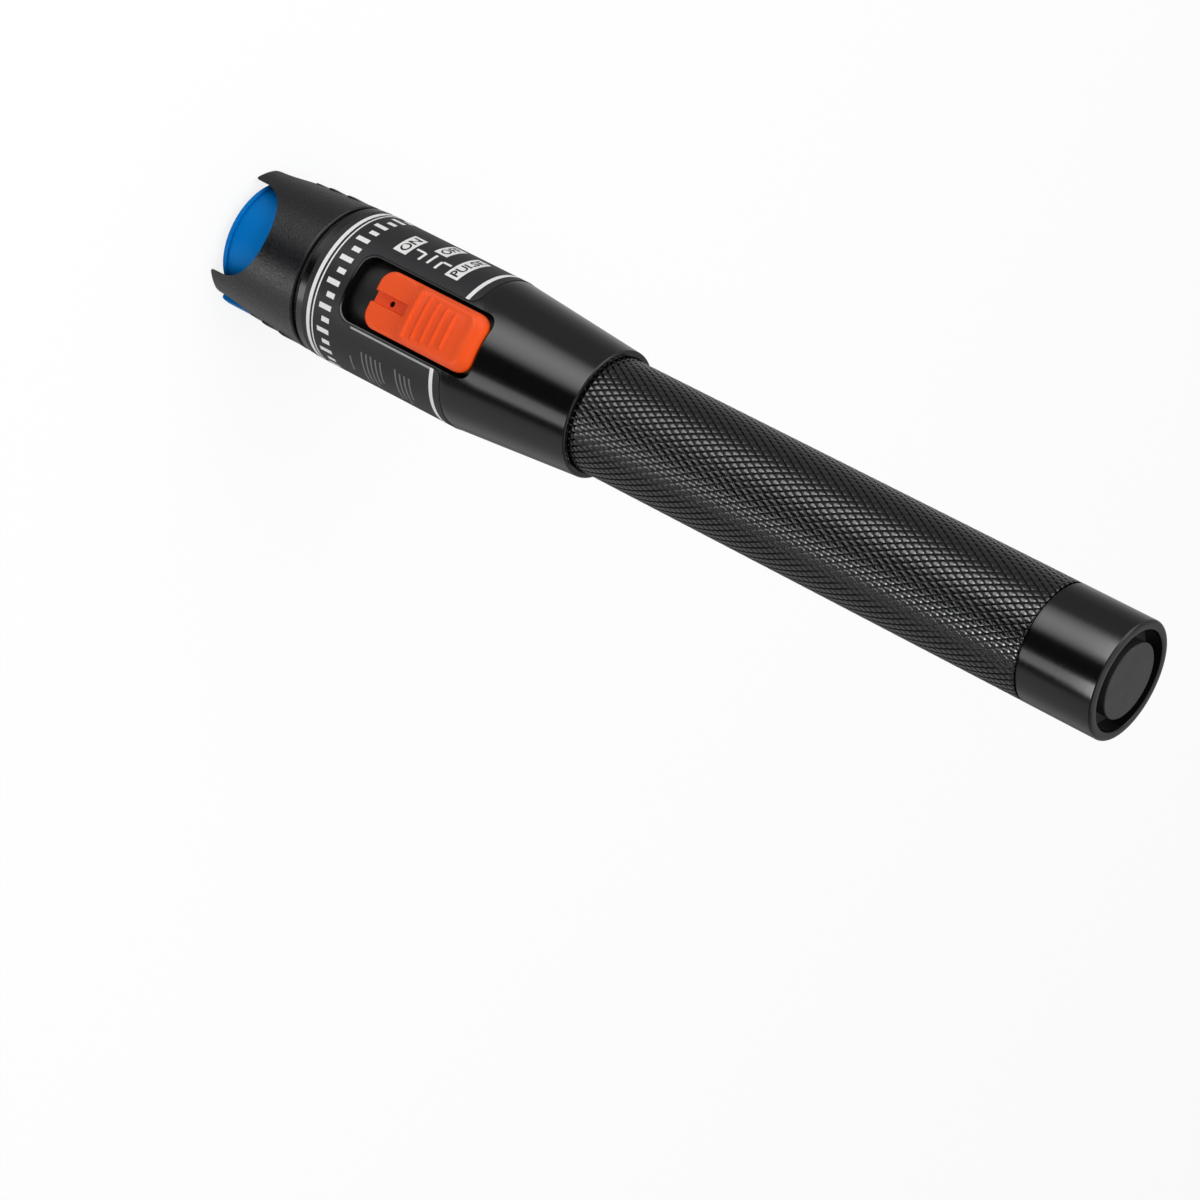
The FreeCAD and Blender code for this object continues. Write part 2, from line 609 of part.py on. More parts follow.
def ceramic_sleeve():
    front = "(port_setback + port_lip + sleeve_float)"
    body = turned("ceramic_sleeve", box_corners(
        "ferrule_radius", "ferrule_radius + sleeve_wall", front, f"{front} + sleeve_length"))
    sketch = new_sketch(body, "XZ_Plane")
    draw_outline(sketch, box_corners(
        "-sleeve_slit / 2", "sleeve_slit / 2",
        f"{front} - sleeve_slit", f"{front} + sleeve_length + sleeve_slit"))
    pocket(body, sketch, reverse=True, through=True)
    return body


def adapter_nut():
    body = new_body("adapter_nut")
    flat = "(nut_across_flats / 2)"
    point = "(nut_across_flats / sqrt(3))"
    sketch = new_sketch(body, "XY_Plane", WEB_BACK)
    draw_outline(sketch, [
        (flat, f"-{point} / 2"),
        (flat, f"{point} / 2"),
        ("0", point),
        (f"-{flat}", f"{point} / 2"),
        (f"-{flat}", f"-{point} / 2"),
        ("0", f"-{point}"),
    ])
    draw_circle(sketch, "0", "0", "port_stem_radius + snug_gap")
    pad(body, sketch, "nut_thickness")
    return body


def laser_housing():
    return turned("laser_housing", [
        ("port_stem_radius + snug_gap", LASER_FRONT),
        ("laser_radius", LASER_FRONT),
        ("laser_radius", f"{LASER_FRONT} + laser_length"),
        ("diode_radius + diode_clearance", f"{LASER_FRONT} + laser_length"),
        ("diode_radius + diode_clearance", DIODE_FRONT),
        ("laser_bore_radius", DIODE_FRONT),
        ("laser_bore_radius", LENS_FRONT),
        ("lens_stop", LENS_FRONT),
        ("lens_stop", STEM_BACK),
        ("port_stem_radius + snug_gap", STEM_BACK),
    ])


def focus_lens():
    """Flat front, domed back: a cylinder cut by a ball."""
    ball_radius = "((lens_radius ^ 2 + lens_crown ^ 2) / 2 / lens_crown)"
    disc = doc.addObject("Part::Cylinder", "LensDisc")
    disc.setExpression("Radius", bound("lens_radius"))
    disc.setExpression("Height", bound("lens_edge + lens_crown + lens_edge"))
    disc.setExpression("Placement.Base.z", bound(LENS_FRONT))
    ball = doc.addObject("Part::Sphere", "LensBall")
    ball.setExpression("Radius", bound(ball_radius))
    ball.setExpression("Placement.Base.z", bound(f"{LENS_FRONT} + lens_edge + lens_crown - {ball_radius}"))
    lens = doc.addObject("Part::Common", "focus_lens")
    lens.Base = disc
    lens.Tool = ball
    return lens


def lens_spacer():
    return turned("lens_spacer", box_corners(
        "diode_can_radius + diode_clearance", "lens_radius",
        f"{LENS_FRONT} + lens_edge + lens_crown", DIODE_FRONT))


def laser_diode():
    body = turned("laser_diode", [
        ("0", f"{DIODE_FRONT} - diode_can_length"),
        ("diode_can_radius", f"{DIODE_FRONT} - diode_can_length"),
        ("diode_can_radius", DIODE_FRONT),
        ("diode_radius", DIODE_FRONT),
        ("diode_radius", DIODE_BACK),
        ("0", DIODE_BACK),
    ])
    beside_board = f"({BOARD_FACE} + pin_radius + snug_gap)"
    sketch = new_sketch(body, "XY_Plane", DIODE_BACK)
    draw_circle(sketch, "pin_spread", f"-{beside_board}", "pin_radius")
    draw_circle(sketch, "-pin_spread", f"-{beside_board}", "pin_radius")
    draw_circle(sketch, "0", beside_board, "pin_radius")
    pad(body, sketch, f"{BOARD_FRONT} + pin_spread * 2 - {DIODE_BACK}")
    return body


def diode_ring():
    return turned("diode_ring", box_corners(
        "ring_hole_radius", "diode_radius", DIODE_BACK, f"{DIODE_BACK} + ring_thickness"))


# ---- head shell and label ----


def head_shell():
    mouth = "(grip_radius + mouth_clearance)"
    thread = "(thread_radius + thread_clearance)"
    body = turned("head_shell", [
        ("shell_bore_radius", SHELL_FRONT),
        ("shell_radius", SHELL_FRONT, "collar_edge"),
        ("shell_radius", TAPER_START, "shell_blend"),
        ("collar_radius", SHELL_BACK, "collar_edge"),
        (mouth, SHELL_BACK),
        (mouth, MOUTH_FLOOR),
        ("seal_radius", MOUTH_FLOOR),
        ("seal_radius", SEAL_START),
        (thread, SEAL_START),
        (thread, THREAD_START),
        ("shell_bore_radius", THREAD_START),
    ])
    sketch = new_sketch(body, "XZ_Plane")
    draw_outline(sketch, box_corners(
        "-window_width / 2", "window_width / 2", WINDOW_FRONT, WINDOW_BACK, "window_corner"))
    pocket(body, sketch, reverse=True, through=True)
    return body


def label_wrap():
    front = f"({SHELL_FRONT} + film_setback)"
    back = f"({TAPER_START} - film_end_gap)"
    body = turned("label_wrap", box_corners("shell_radius", "shell_radius + film_thickness", front, back))
    across = "(window_width / 2 + film_margin)"
    beyond = f"({across} + 2 * film_corner)"
    sketch = new_sketch(body, "XZ_Plane")
    draw_outline(sketch, [
        (f"-{across}", f"{WINDOW_FRONT} - film_margin", "window_corner"),
        (across, f"{WINDOW_FRONT} - film_margin", "window_corner"),
        (across, back, "film_corner"),
        (beyond, back),
        (beyond, f"{back} + film_corner"),
        (f"-{beyond}", f"{back} + film_corner"),
        (f"-{beyond}", back),
        (f"-{across}", back, "film_corner"),
    ])
    pocket(body, sketch, reverse=True, through=True)
    return body


# ---- slide switch ----


def switch_slider():
    back = f"({SLIDER_FRONT} + slider_length)"
    ramp = f"({SLIDER_FRONT} + slider_ramp)"
    half = "(slider_width / 2)"
    body = new_body("switch_slider")
    sketch = new_sketch(body, "YZ_Plane")
    draw_outline(sketch, [
        ("-slider_foot", SLIDER_FRONT),
        ("-slider_foot", back),
        ("-slider_top", back),
        ("-slider_top", f"{ramp} + slider_ramp_length", "slider_bend"),
        ("-slider_step", ramp, "slider_bend"),
        ("-slider_step", SLIDER_FRONT),
    ])
    pad(body, sketch, "slider_width", both=True)

    def corner_at(height):
        def wanted(edge):
            a, b = edge.Vertexes[0].Point, edge.Vertexes[-1].Point
            upright = abs(a.x - b.x) + abs(a.z - b.z) < 1e-4
            return upright and abs(a.z - number(height)) < 1e-4

        return wanted

    round_off(body, "slider_corner", corner_at(SLIDER_FRONT))
    round_off(body, "slider_back_corner", corner_at(back))

    def top_edge(edge):
        box = edge.BoundBox
        outside = max(abs(box.XMin), abs(box.XMax)) > number(half) - 1e-4
        at_end = box.ZLength < 1e-4 and (
            abs(box.ZMin - number(SLIDER_FRONT)) < 1e-4 or abs(box.ZMin - number(back)) < 1e-4)
        return box.YMax < -number("slider_step") + 1e-4 and (outside or at_end)

    round_off(body, "slider_edge", top_edge)

    pitch_start = f"({ramp} + slider_ramp_length + slider_rib_width)"
    for step in range(int(number("slider_rib_count"))):
        middle = f"({pitch_start} + {step} * slider_rib_pitch)"
        sketch = new_sketch(body, "XZ_Plane", "slider_top - skin_overlap")
        draw_outline(sketch, box_corners(
            "-slider_rib_length / 2", "slider_rib_length / 2",
            f"{middle} - slider_rib_width / 2", f"{middle} + slider_rib_width / 2",
            "slider_rib_width / 2.2"))
        pad(body, sketch, "skin_overlap + slider_rib_height")

    sketch = new_sketch(body, "XZ_Plane", "slider_step - slider_notch_depth")
    draw_outline(sketch, box_corners(
        "-slider_notch_width / 2", "slider_notch_width / 2",
        f"{SLIDER_FRONT} - slider_notch_width", f"{SLIDER_FRONT} + slider_notch_length"))
    pocket(body, sketch, "slider_top", reverse=True)
    sketch = new_sketch(body, "XZ_Plane", "slider_foot")
    draw_circle(sketch, "0", f"{SLIDER_FRONT} + slider_hole_setback", "slider_hole_radius")
    pocket(body, sketch, "slider_top", reverse=True)

    leg_tip = "(slider_foot - slider_leg_reach)"
    sketch = new_sketch(body, "XZ_Plane", leg_tip)
    draw_outline(sketch, box_corners(
        "-slider_leg_width / 2", "slider_leg_width / 2",
        f"{KNOB_REST} - slider_leg_length / 2", f"{KNOB_REST} + slider_leg_length / 2"))
    pad(body, sketch, "slider_leg_reach + skin_overlap")
    knob_top = f"({BOARD_FACE} + switch_height + knob_height)"
    sketch = new_sketch(body, "XZ_Plane", leg_tip)
    draw_outline(sketch, box_corners(
        "-knob_width / 2 - knob_clearance", "knob_width / 2 + knob_clearance",
        f"{KNOB_REST} - knob_length / 2 - knob_clearance",
        f"{KNOB_REST} + knob_length / 2 + knob_clearance"))
    pocket(body, sketch, f"{knob_top} + knob_clearance - {leg_tip}", reverse=True)
    return body


def slider_tray():
    outer = "(shell_bore_radius - snug_gap)"
    body = new_body("slider_tray")
    wall = revolve(body, box_corners(
        f"{outer} - tray_wall", outer,
        f"{CARRIER_FRONT} + carrier_front_wall + snug_gap", f"{CARRIER_BACK} - carrier_back_wall - snug_gap"),
        "tray_angle")
    turn_sketch(wall, -90)
    sketch = new_sketch(body, "XZ_Plane")
    draw_outline(sketch, box_corners(
        "-slider_leg_width / 2 - leg_clearance", "slider_leg_width / 2 + leg_clearance",
        f"{KNOB_REST} - 2 * detent_spacing - slider_leg_length / 2 - leg_clearance",
        f"{KNOB_REST} + slider_leg_length / 2 + leg_clearance"))
    pocket(body, sketch, reverse=True, through=True)
    return body


def switch_body():
    body = new_body("switch_body")
    sketch = new_sketch(body, "XZ_Plane", BOARD_FACE)
    draw_outline(sketch, box_corners(
        "-switch_width / 2", "switch_width / 2",
        f"{SWITCH_MIDDLE} - switch_length / 2", f"{SWITCH_MIDDLE} + switch_length / 2"))
    pad(body, sketch, "switch_height")
    reach = "(detent_spacing + knob_length / 2 + knob_slot)"
    sketch = new_sketch(body, "XZ_Plane", f"{BOARD_FACE} + switch_height - knob_root - knob_slot")
    draw_outline(sketch, box_corners(
        "-knob_width / 2 - knob_slot", "knob_width / 2 + knob_slot",
        f"{SWITCH_MIDDLE} - {reach}", f"{SWITCH_MIDDLE} + {reach}"))
    pocket(body, sketch, "switch_height", reverse=True)
    return body


def switch_knob():
    body = new_body("switch_knob")
    sketch = new_sketch(body, "XZ_Plane", f"{BOARD_FACE} + switch_height - knob_root")
    draw_outline(sketch, box_corners(
        "-knob_width / 2", "knob_width / 2",
        f"{KNOB_REST} - knob_length / 2", f"{KNOB_REST} + knob_length / 2"))
    pad(body, sketch, "knob_root + knob_height")
    return body


# ---- circuit board ----


def screw_spots():
    """Each board screw's place, across and along the board."""
    for across in ("-screw_spacing_x / 2", "screw_spacing_x / 2"):
        for along in (f"{BOARD_FRONT} + screw_inset", f"{BOARD_BACK} - screw_inset"):
            yield across, along


def circuit_board():
    body = new_body("circuit_board")
    sketch = new_sketch(body, "XZ_Plane")
    draw_outline(sketch, box_corners("-board_width / 2", "board_width / 2", BOARD_FRONT, BOARD_BACK))
    for across, along in screw_spots():
        draw_circle(sketch, across, along, "screw_radius + screw_clearance")
    pad(body, sketch, "board_thickness", both=True)
    return body


def board_screws():
    screws = []
    for across, along in screw_spots():
        solids = []
        for kind, radius, low, length in (
            ("Head", "screw_head_radius", f"-{BOARD_FACE} - screw_head", "screw_head"),
            ("Shank", "screw_radius", f"-{BOARD_FACE}", "screw_length"),
        ):
            solid = doc.addObject("Part::Cylinder", kind)
            solid.Placement.Rotation = FreeCAD.Rotation(Vector(1, 0, 0), -90)
            solid.setExpression("Radius", bound(radius))
            solid.setExpression("Height", bound(length))
            solid.setExpression("Placement.Base.x", bound(across))
            solid.setExpression("Placement.Base.y", bound(low))
            solid.setExpression("Placement.Base.z", bound(along))
            solids.append(solid)
        screw = doc.addObject("Part::Fuse", "Screw")
        screw.Base, screw.Tool = solids
        screws.append(screw)
    group = doc.addObject("Part::Compound", "board_screws")
    group.Links = screws
    return group


def driver_chip():
    body = new_body("driver_chip")
    middle = f"({BOARD_FRONT} + ({BOARD_BACK} - {BOARD_FRONT}) / 3)"
    sketch = new_sketch(body, "XZ_Plane", f"-{BOARD_FACE} - chip_height")
    draw_outline(sketch, box_corners(
        "-chip_width / 2", "chip_width / 2", f"{middle} - chip_length / 2", f"{middle} + chip_length / 2"))
    pad(body, sketch, "chip_height")
    return body


def capacitor():
    body = new_body("capacitor")
    sketch = new_sketch(body, "XZ_Plane", f"-{BOARD_FACE} - capacitor_height")
    draw_circle(sketch, "0", f"{BOARD_BACK} - ({BOARD_BACK} - {BOARD_FRONT}) / 5", "capacitor_radius")
    pad(body, sketch, "capacitor_height")
    return body


# ---- carrier ----


def carrier():
    outer = "(shell_bore_radius - snug_gap)"
    back_wall = f"({CARRIER_BACK} - carrier_back_wall)"
    body = new_body("carrier")
    wall = revolve(body, box_corners(f"{outer} - carrier_wall", outer, CARRIER_FRONT, CARRIER_BACK),
                   "360 - tray_angle - 2 * tray_gap")
    turn_sketch(wall, 90)
    revolve(body, box_corners(
        "laser_radius + snug_gap", outer, CARRIER_FRONT, f"{CARRIER_FRONT} + carrier_front_wall"))
    revolve(body, box_corners("0", outer, back_wall, CARRIER_BACK))
    for side in ("-1", "1"):
        inner, outside = sorted((f"{side} * rail_inner", f"{side} * rail_outer"), key=number)
        sketch = new_sketch(body, "XZ_Plane", f"-{BOARD_FACE} - rail_depth")
        draw_outline(sketch, box_corners(inner, outside, BOARD_FRONT, f"{back_wall} + skin_overlap"))
        pad(body, sketch, "rail_depth")
    sketch = new_sketch(body, "XZ_Plane", f"-{BOARD_FACE}")
    for across, along in screw_spots():
        draw_circle(sketch, across, along, "screw_radius + snug_gap")
    pocket(body, sketch, "screw_length")
    sketch = new_sketch(body, "XY_Plane", CARRIER_BACK)
    draw_outline(sketch, box_corners(
        "-contact_tab_width / 2 - contact_slot", "contact_tab_width / 2 + contact_slot",
        f"-{BOARD_FACE} - contact_thickness - contact_slot", f"-{BOARD_FACE} + contact_slot"))
    pocket(body, sketch, "carrier_back_wall")
    return body


def front_contact():
    body = new_body("front_contact")
    sketch = new_sketch(body, "XY_Plane", CARRIER_BACK)
    draw_circle(sketch, "0", "0", "contact_radius")
    pad(body, sketch, "contact_thickness")
    sketch = new_sketch(body, "XZ_Plane", BOARD_FACE)
    draw_outline(sketch, box_corners(
        "-contact_tab_width / 2", "contact_tab_width / 2",
        f"({SWITCH_MIDDLE} + switch_length / 2 + {BOARD_BACK}) / 2", f"{CARRIER_BACK} + contact_thickness"))
    pad(body, sketch, "contact_thickness")
    return body


# ---- battery tube and cells ----


def grip_tube():
    ring_middle = f"({SHOULDER} - ring_setback)"
    ring_half = "(ring_section + ring_groove_slack / 2)"
    ring_floor = "(seal_radius - ring_clearance - 2 * ring_section)"
    front = f"({THREAD_START} + neck_setback)"
    step = f"({SEAL_START} + neck_step)"
    return turned("grip_tube", [
        ("tube_bore_radius", front),
        ("thread_radius", front, "tail_edge"),
        ("thread_radius", step),
        ("neck_radius", step),
        ("neck_radius", f"{ring_middle} - {ring_half}"),
        (ring_floor, f"{ring_middle} - {ring_half}"),
        (ring_floor, f"{ring_middle} + {ring_half}"),
        ("neck_radius", f"{ring_middle} + {ring_half}"),
        ("neck_radius", SHOULDER),
        ("grip_radius", SHOULDER),
        ("grip_radius", TAIL_END, "tail_edge"),
        ("tail_bore_radius", TAIL_END, "tail_rim_edge"),
        ("tail_bore_radius", PLUG_FRONT),
        ("tube_bore_radius", PLUG_FRONT),
    ])


def seal_ring():
    ring = doc.addObject("Part::Torus", "seal_ring")
    ring.setExpression("Radius1", bound("seal_radius - ring_clearance - ring_section"))
    ring.setExpression("Radius2", bound("ring_section"))
    ring.setExpression("Placement.Base.z", bound(f"{SHOULDER} - ring_setback"))
    return ring


def tail_plug():
    floor = f"({TAIL_END} - plug_groove_depth)"
    return turned("tail_plug", [
        ("0", PLUG_FRONT),
        ("tail_bore_radius - plug_fit", PLUG_FRONT),
        ("tail_bore_radius - plug_fit", floor),
        ("plug_boss_radius", floor),
        ("plug_boss_radius", TAIL_END, "plug_edge"),
        ("0", TAIL_END),
    ])


def tail_spring():
    body = new_body("tail_spring")
    sketch = new_sketch(body, "XZ_Plane")
    draw_circle(sketch, "spring_radius", f"{CELLS_BACK} + spring_wire", "spring_wire")
    coil = body.newObject("PartDesign::AdditiveHelix", "Coil")
    coil.Profile = sketch
    coil.ReferenceAxis = (sketch, ["V_Axis"])
    coil.Mode = 2
    coil.setExpression("Height", bound("spring_length - 2 * spring_wire"))
    coil.setExpression("Turns", bound("spring_turns"))
    return body


def cell(label, place):
    front = f"({CELL_FRONT} + {place} * {CELL_STEP})"
    step = f"({front} + cell_button)"
    return turned(label, [
        ("0", front),
        ("cell_button_radius", front, "cell_edge / 2"),
        ("cell_button_radius", step),
        ("cell_radius", step, "cell_edge"),
        ("cell_radius", f"{step} + cell_length", "cell_edge"),
        ("0", f"{step} + cell_length"),
    ])


NODES = [
    crown_boot(), nose_piece(), dust_cap(), ferrule_adapter(), ceramic_sleeve(), adapter_nut(),
    laser_housing(), focus_lens(), lens_spacer(), laser_diode(), diode_ring(), head_shell(),
    label_wrap(), switch_slider(), slider_tray(), switch_body(), switch_knob(), circuit_board(),
    board_screws(), driver_chip(), capacitor(), carrier(), front_contact(), grip_tube(),
    seal_ring(), tail_plug(), tail_spring(), cell("battery_front", 0), cell("battery_rear", 1),
]

doc.recompute()
for thing in doc.Objects:
    if "Invalid" in thing.State or "Error" in thing.State:
        raise RuntimeError(f"{thing.Label} ({thing.Name}) failed: {thing.State}")
for node in NODES:
    if node.Shape.isNull() or not node.Shape.isValid():
        raise RuntimeError(f"{node.Label} has no valid shape")

os.makedirs("parts", exist_ok=True)
for node in NODES:
    node.Shape.exportStep(f"parts/{node.Label}.step")
    print(f"{node.Label}: {node.Shape.Volume:.1f} mm3, {len(node.Shape.Solids)} solid(s)")
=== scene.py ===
import math

import bmesh
import bpy
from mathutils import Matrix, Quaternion, Vector


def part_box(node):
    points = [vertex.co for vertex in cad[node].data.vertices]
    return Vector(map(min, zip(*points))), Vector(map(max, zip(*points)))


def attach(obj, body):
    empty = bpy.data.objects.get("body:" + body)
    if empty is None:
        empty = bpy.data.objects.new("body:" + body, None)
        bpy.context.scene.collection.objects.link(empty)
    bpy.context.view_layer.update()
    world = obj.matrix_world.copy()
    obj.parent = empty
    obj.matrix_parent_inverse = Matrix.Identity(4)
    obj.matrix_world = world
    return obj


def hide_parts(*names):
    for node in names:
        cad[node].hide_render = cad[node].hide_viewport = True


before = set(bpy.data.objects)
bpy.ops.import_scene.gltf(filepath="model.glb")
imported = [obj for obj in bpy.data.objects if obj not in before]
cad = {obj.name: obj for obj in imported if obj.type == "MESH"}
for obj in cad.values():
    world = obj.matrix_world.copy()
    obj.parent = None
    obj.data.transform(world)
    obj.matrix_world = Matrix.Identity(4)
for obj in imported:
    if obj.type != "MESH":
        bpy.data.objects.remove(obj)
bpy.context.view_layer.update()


# ---- studio ----
# A plain pale floor in a white room with one soft lamp overhead. A wide ring of cards and strip
# lights stands round the pen and shows only in its reflections, through the floor's thin scrim.


def add_object(name, data):
    item = bpy.data.objects.new(name, data)
    bpy.context.scene.collection.objects.link(item)
    return item


camera_place = Vector((0.0, -0.59009, 0.43360))
camera_aim = Vector((0.026338, -0.001195, 0.091055))
camera_roll = math.radians(118.38)
camera_lens = 130.916

camera_data = bpy.data.cameras.new("studio_camera")
camera_data.lens = camera_lens
camera_data.sensor_width = 36.0
camera = add_object("studio_camera", camera_data)
camera.rotation_mode = "QUATERNION"
camera.location = camera_place
camera.rotation_quaternion = (camera_aim - camera_place).to_track_quat("-Z", "Y") @ Quaternion(
    (0, 0, 1), camera_roll)
bpy.context.scene.camera = camera
bpy.context.scene.view_settings.view_transform = "Standard"


def add_node(tree, kind, **settings):
    node = tree.nodes.new(kind)
    for name, value in settings.items():
        setattr(node, name, value)
    return node


def maths(tree, operation, first, second=None):
    """A Math node whose inputs are sockets or numbers."""
    node = add_node(tree, "ShaderNodeMath", operation=operation)
    for socket, value in zip(node.inputs, (first, second)):
        if isinstance(value, (int, float)):
            socket.default_value = value
        elif value is not None:
            tree.links.new(value, socket)
    return node.outputs[0]


room_level = 0.55

world = bpy.data.worlds.new("white_room")
world.use_nodes = True
bpy.context.scene.world = world
tree = world.node_tree
tree.nodes.clear()
room = add_node(tree, "ShaderNodeBackground")
room.inputs["Color"].default_value = (1, 1, 1, 1)
room.inputs["Strength"].default_value = room_level
backdrop = add_node(tree, "ShaderNodeBackground")
backdrop.inputs["Color"].default_value = (1, 1, 1, 1)
path = add_node(tree, "ShaderNodeLightPath")
mirrored = maths(tree, "MAXIMUM", path.outputs["Is Glossy Ray"], path.outputs["Is Transmission Ray"])
mix = add_node(tree, "ShaderNodeMixShader")
tree.links.new(maths(tree, "MAXIMUM", path.outputs["Is Camera Ray"], mirrored), mix.inputs[0])
tree.links.new(room.outputs[0], mix.inputs[1])
tree.links.new(backdrop.outputs[0], mix.inputs[2])
out = add_node(tree, "ShaderNodeOutputWorld")
tree.links.new(mix.outputs[0], out.inputs[0])

# brightness of the ring by bearing, in degrees from the front towards -X. Each zone starts
# between two heights: under the pen, level with the crown's reflections, level with the
# shell's and the tube's, just above those, and level with the pen
UNDER_LIGHT = [(-180, 0.08), (180, 0.08)]
CROWN_LIGHT = [
    (-180, 0.3), (-160, 0.2), (-140, 0.5), (-120, 0.66), (-100, 0.8), (-70, 1.1), (-60, 1.7), (-55, 3.6),
    (-36, 3.6), (-28, 0.6), (-15, 0.03), (0, 0.02), (10, 0.25), (25, 0.6), (40, 0.72), (60, 0.6),
    (80, 0.42), (120, 0.36), (160, 0.4), (180, 0.3),
]
BODY_LIGHT = [
    (-180, 0.42), (-164, 0.24), (-156, 0.2), (-140, 0.48), (-126, 0.56), (-104, 0.51), (-78, 0.6),
    (-70, 0.52), (-64, 0.16), (-58, 0.06), (-54, 0.4), (-49, 2.5), (-44, 2.6), (-35, 2.0), (-31, 0.3),
    (-25, 0.02), (0, 0.02), (5, 0.3), (12, 1.9), (20, 3.2), (32, 3.8), (42, 3.1), (51, 1.9), (60, 0.5),
    (66, 0.4), (100, 0.28), (120, 0.36), (145, 0.55), (162, 0.52), (180, 0.42),
]
KEY_LIGHT = [
    (-180, 0.42), (-130, 0.5), (-66, 0.4), (-58, 0.6), (-54, 12.0), (-34, 12.0), (-30, 0.6), (-24, 0.02),
    (2, 0.02), (10, 2.0), (18, 7.5), (44, 7.5), (56, 1.5), (66, 0.4), (100, 0.28), (140, 0.5), (180, 0.42),
]
ROOM_LIGHT = [
    (-180, 0.42), (-130, 0.4), (-90, 0.25), (-40, 0.2), (0, 0.25), (45, 0.9), (64, 2.0), (88, 2.2),
    (106, 0.6), (140, 0.4), (180, 0.42),
]
ZONES = [
    (CROWN_LIGHT, -2.3, -1.9), (BODY_LIGHT, -1.39, -1.24),
    (KEY_LIGHT, -0.46, -0.38), (ROOM_LIGHT, -0.08, 0.02),
]
BRIGHTEST = 12.0
ring_radius = 2.0
ring_bottom = -8.0
ring_top = 2.5
ring_sides = 72

ring_data = bpy.data.meshes.new("light_ring")
ring_shape = bmesh.new()
bmesh.ops.create_cone(
    ring_shape, segments=ring_sides, radius1=ring_radius, radius2=ring_radius, depth=ring_top - ring_bottom)
bmesh.ops.translate(ring_shape, verts=ring_shape.verts, vec=(0, 0, (ring_top + ring_bottom) / 2))
ring_shape.to_mesh(ring_data)
ring_shape.free()
light_ring = add_object("light_ring", ring_data)
for ray in ("camera", "diffuse", "transmission", "volume_scatter", "shadow"):
    setattr(light_ring, "visible_" + ray, False)
glow = bpy.data.materials.new("ring_glow")
glow.use_nodes = True
tree = glow.node_tree
tree.nodes.clear()
place = add_node(tree, "ShaderNodeTexCoord")
split = add_node(tree, "ShaderNodeSeparateXYZ")
tree.links.new(place.outputs["Object"], split.inputs[0])
bearing = maths(tree, "ARCTAN2", maths(tree, "MULTIPLY", split.outputs["X"], -1.0),
                maths(tree, "MULTIPLY", split.outputs["Y"], -1.0))
turn_share = maths(tree, "ADD", maths(tree, "DIVIDE", bearing, 2 * math.pi), 0.5)


def level_ramp(levels):
    """Colours round the ring from (bearing, brightness) pairs."""
    ramp = add_node(tree, "ShaderNodeValToRGB")
    tree.links.new(turn_share, ramp.inputs[0])
    stops = ramp.color_ramp.elements
    while len(stops) < len(levels):
        stops.new(0.5)
    for stop, (angle, level) in zip(stops, levels):
        stop.position = angle / 360 + 0.5
        stop.color = (level / BRIGHTEST,) * 3 + (1,)
    return ramp.outputs["Color"]


ring_colour = level_ramp(UNDER_LIGHT)
for levels, start, full in ZONES:
    share = add_node(tree, "ShaderNodeMapRange")
    tree.links.new(split.outputs["Z"], share.inputs["Value"])
    share.inputs["From Min"].default_value = start
    share.inputs["From Max"].default_value = full
    blend = add_node(tree, "ShaderNodeMix", data_type="RGBA")
    tree.links.new(share.outputs[0], blend.inputs[0])
    tree.links.new(ring_colour, blend.inputs[6])
    tree.links.new(level_ramp(levels), blend.inputs[7])
    ring_colour = blend.outputs[2]
lamp_glow = add_node(tree, "ShaderNodeEmission")
lamp_glow.inputs["Strength"].default_value = BRIGHTEST
tree.links.new(ring_colour, lamp_glow.inputs["Color"])
out = add_node(tree, "ShaderNodeOutputMaterial")
tree.links.new(lamp_glow.outputs[0], out.inputs["Surface"])
ring_data.materials.append(glow)

lamp_size = 0.5
lamp_power = 4.0
lamp_place = Vector((-0.12, -0.3, 0.75))
lamp_aim = Vector((0, 0, 0.08))

lamp_data = bpy.data.lights.new("overhead_softbox", "AREA")
lamp_data.shape = "RECTANGLE"
lamp_data.size = lamp_size
lamp_data.size_y = lamp_size
lamp_data.energy = lamp_power
lamp = add_object("overhead_softbox", lamp_data)
lamp.location = lamp_place
lamp.rotation_mode = "QUATERNION"
lamp.rotation_quaternion = (lamp_aim - lamp_place).to_track_quat("-Z", "Y")
lamp.visible_glossy = False

floor_half = 1.5
backdrop_share = 0.85

floor_mesh = bpy.data.meshes.new("floor")
floor_mesh.from_pydata(
    [(-floor_half, -floor_half, 0), (floor_half, -floor_half, 0), (floor_half, floor_half, 0),
     (-floor_half, floor_half, 0)], [], [(0, 1, 2, 3)])
floor = add_object("floor", floor_mesh)
scrim = bpy.data.materials.new("floor_scrim")
scrim.use_nodes = True
tree = scrim.node_tree
tree.nodes.clear()
paper = add_node(tree, "ShaderNodeBsdfDiffuse")
paper.inputs["Color"].default_value = (0.95, 0.95, 0.95, 1)
clear = add_node(tree, "ShaderNodeBsdfTransparent")
path = add_node(tree, "ShaderNodeLightPath")
mirrored = maths(tree, "MAXIMUM", path.outputs["Is Glossy Ray"], path.outputs["Is Transmission Ray"])
seen = maths(tree, "MULTIPLY", path.outputs["Is Camera Ray"], backdrop_share)
mix = add_node(tree, "ShaderNodeMixShader")
tree.links.new(maths(tree, "MAXIMUM", seen, mirrored), mix.inputs[0])
tree.links.new(paper.outputs[0], mix.inputs[1])
tree.links.new(clear.outputs[0], mix.inputs[2])
out = add_node(tree, "ShaderNodeOutputMaterial")
tree.links.new(mix.outputs[0], out.inputs["Surface"])
floor_mesh.materials.append(scrim)


# ---- crown ----
# A soft rubber moulding pushed over the nose. Its three prongs keep the dust cap from being
# knocked off, and steps on its sides give the fingers a hold.


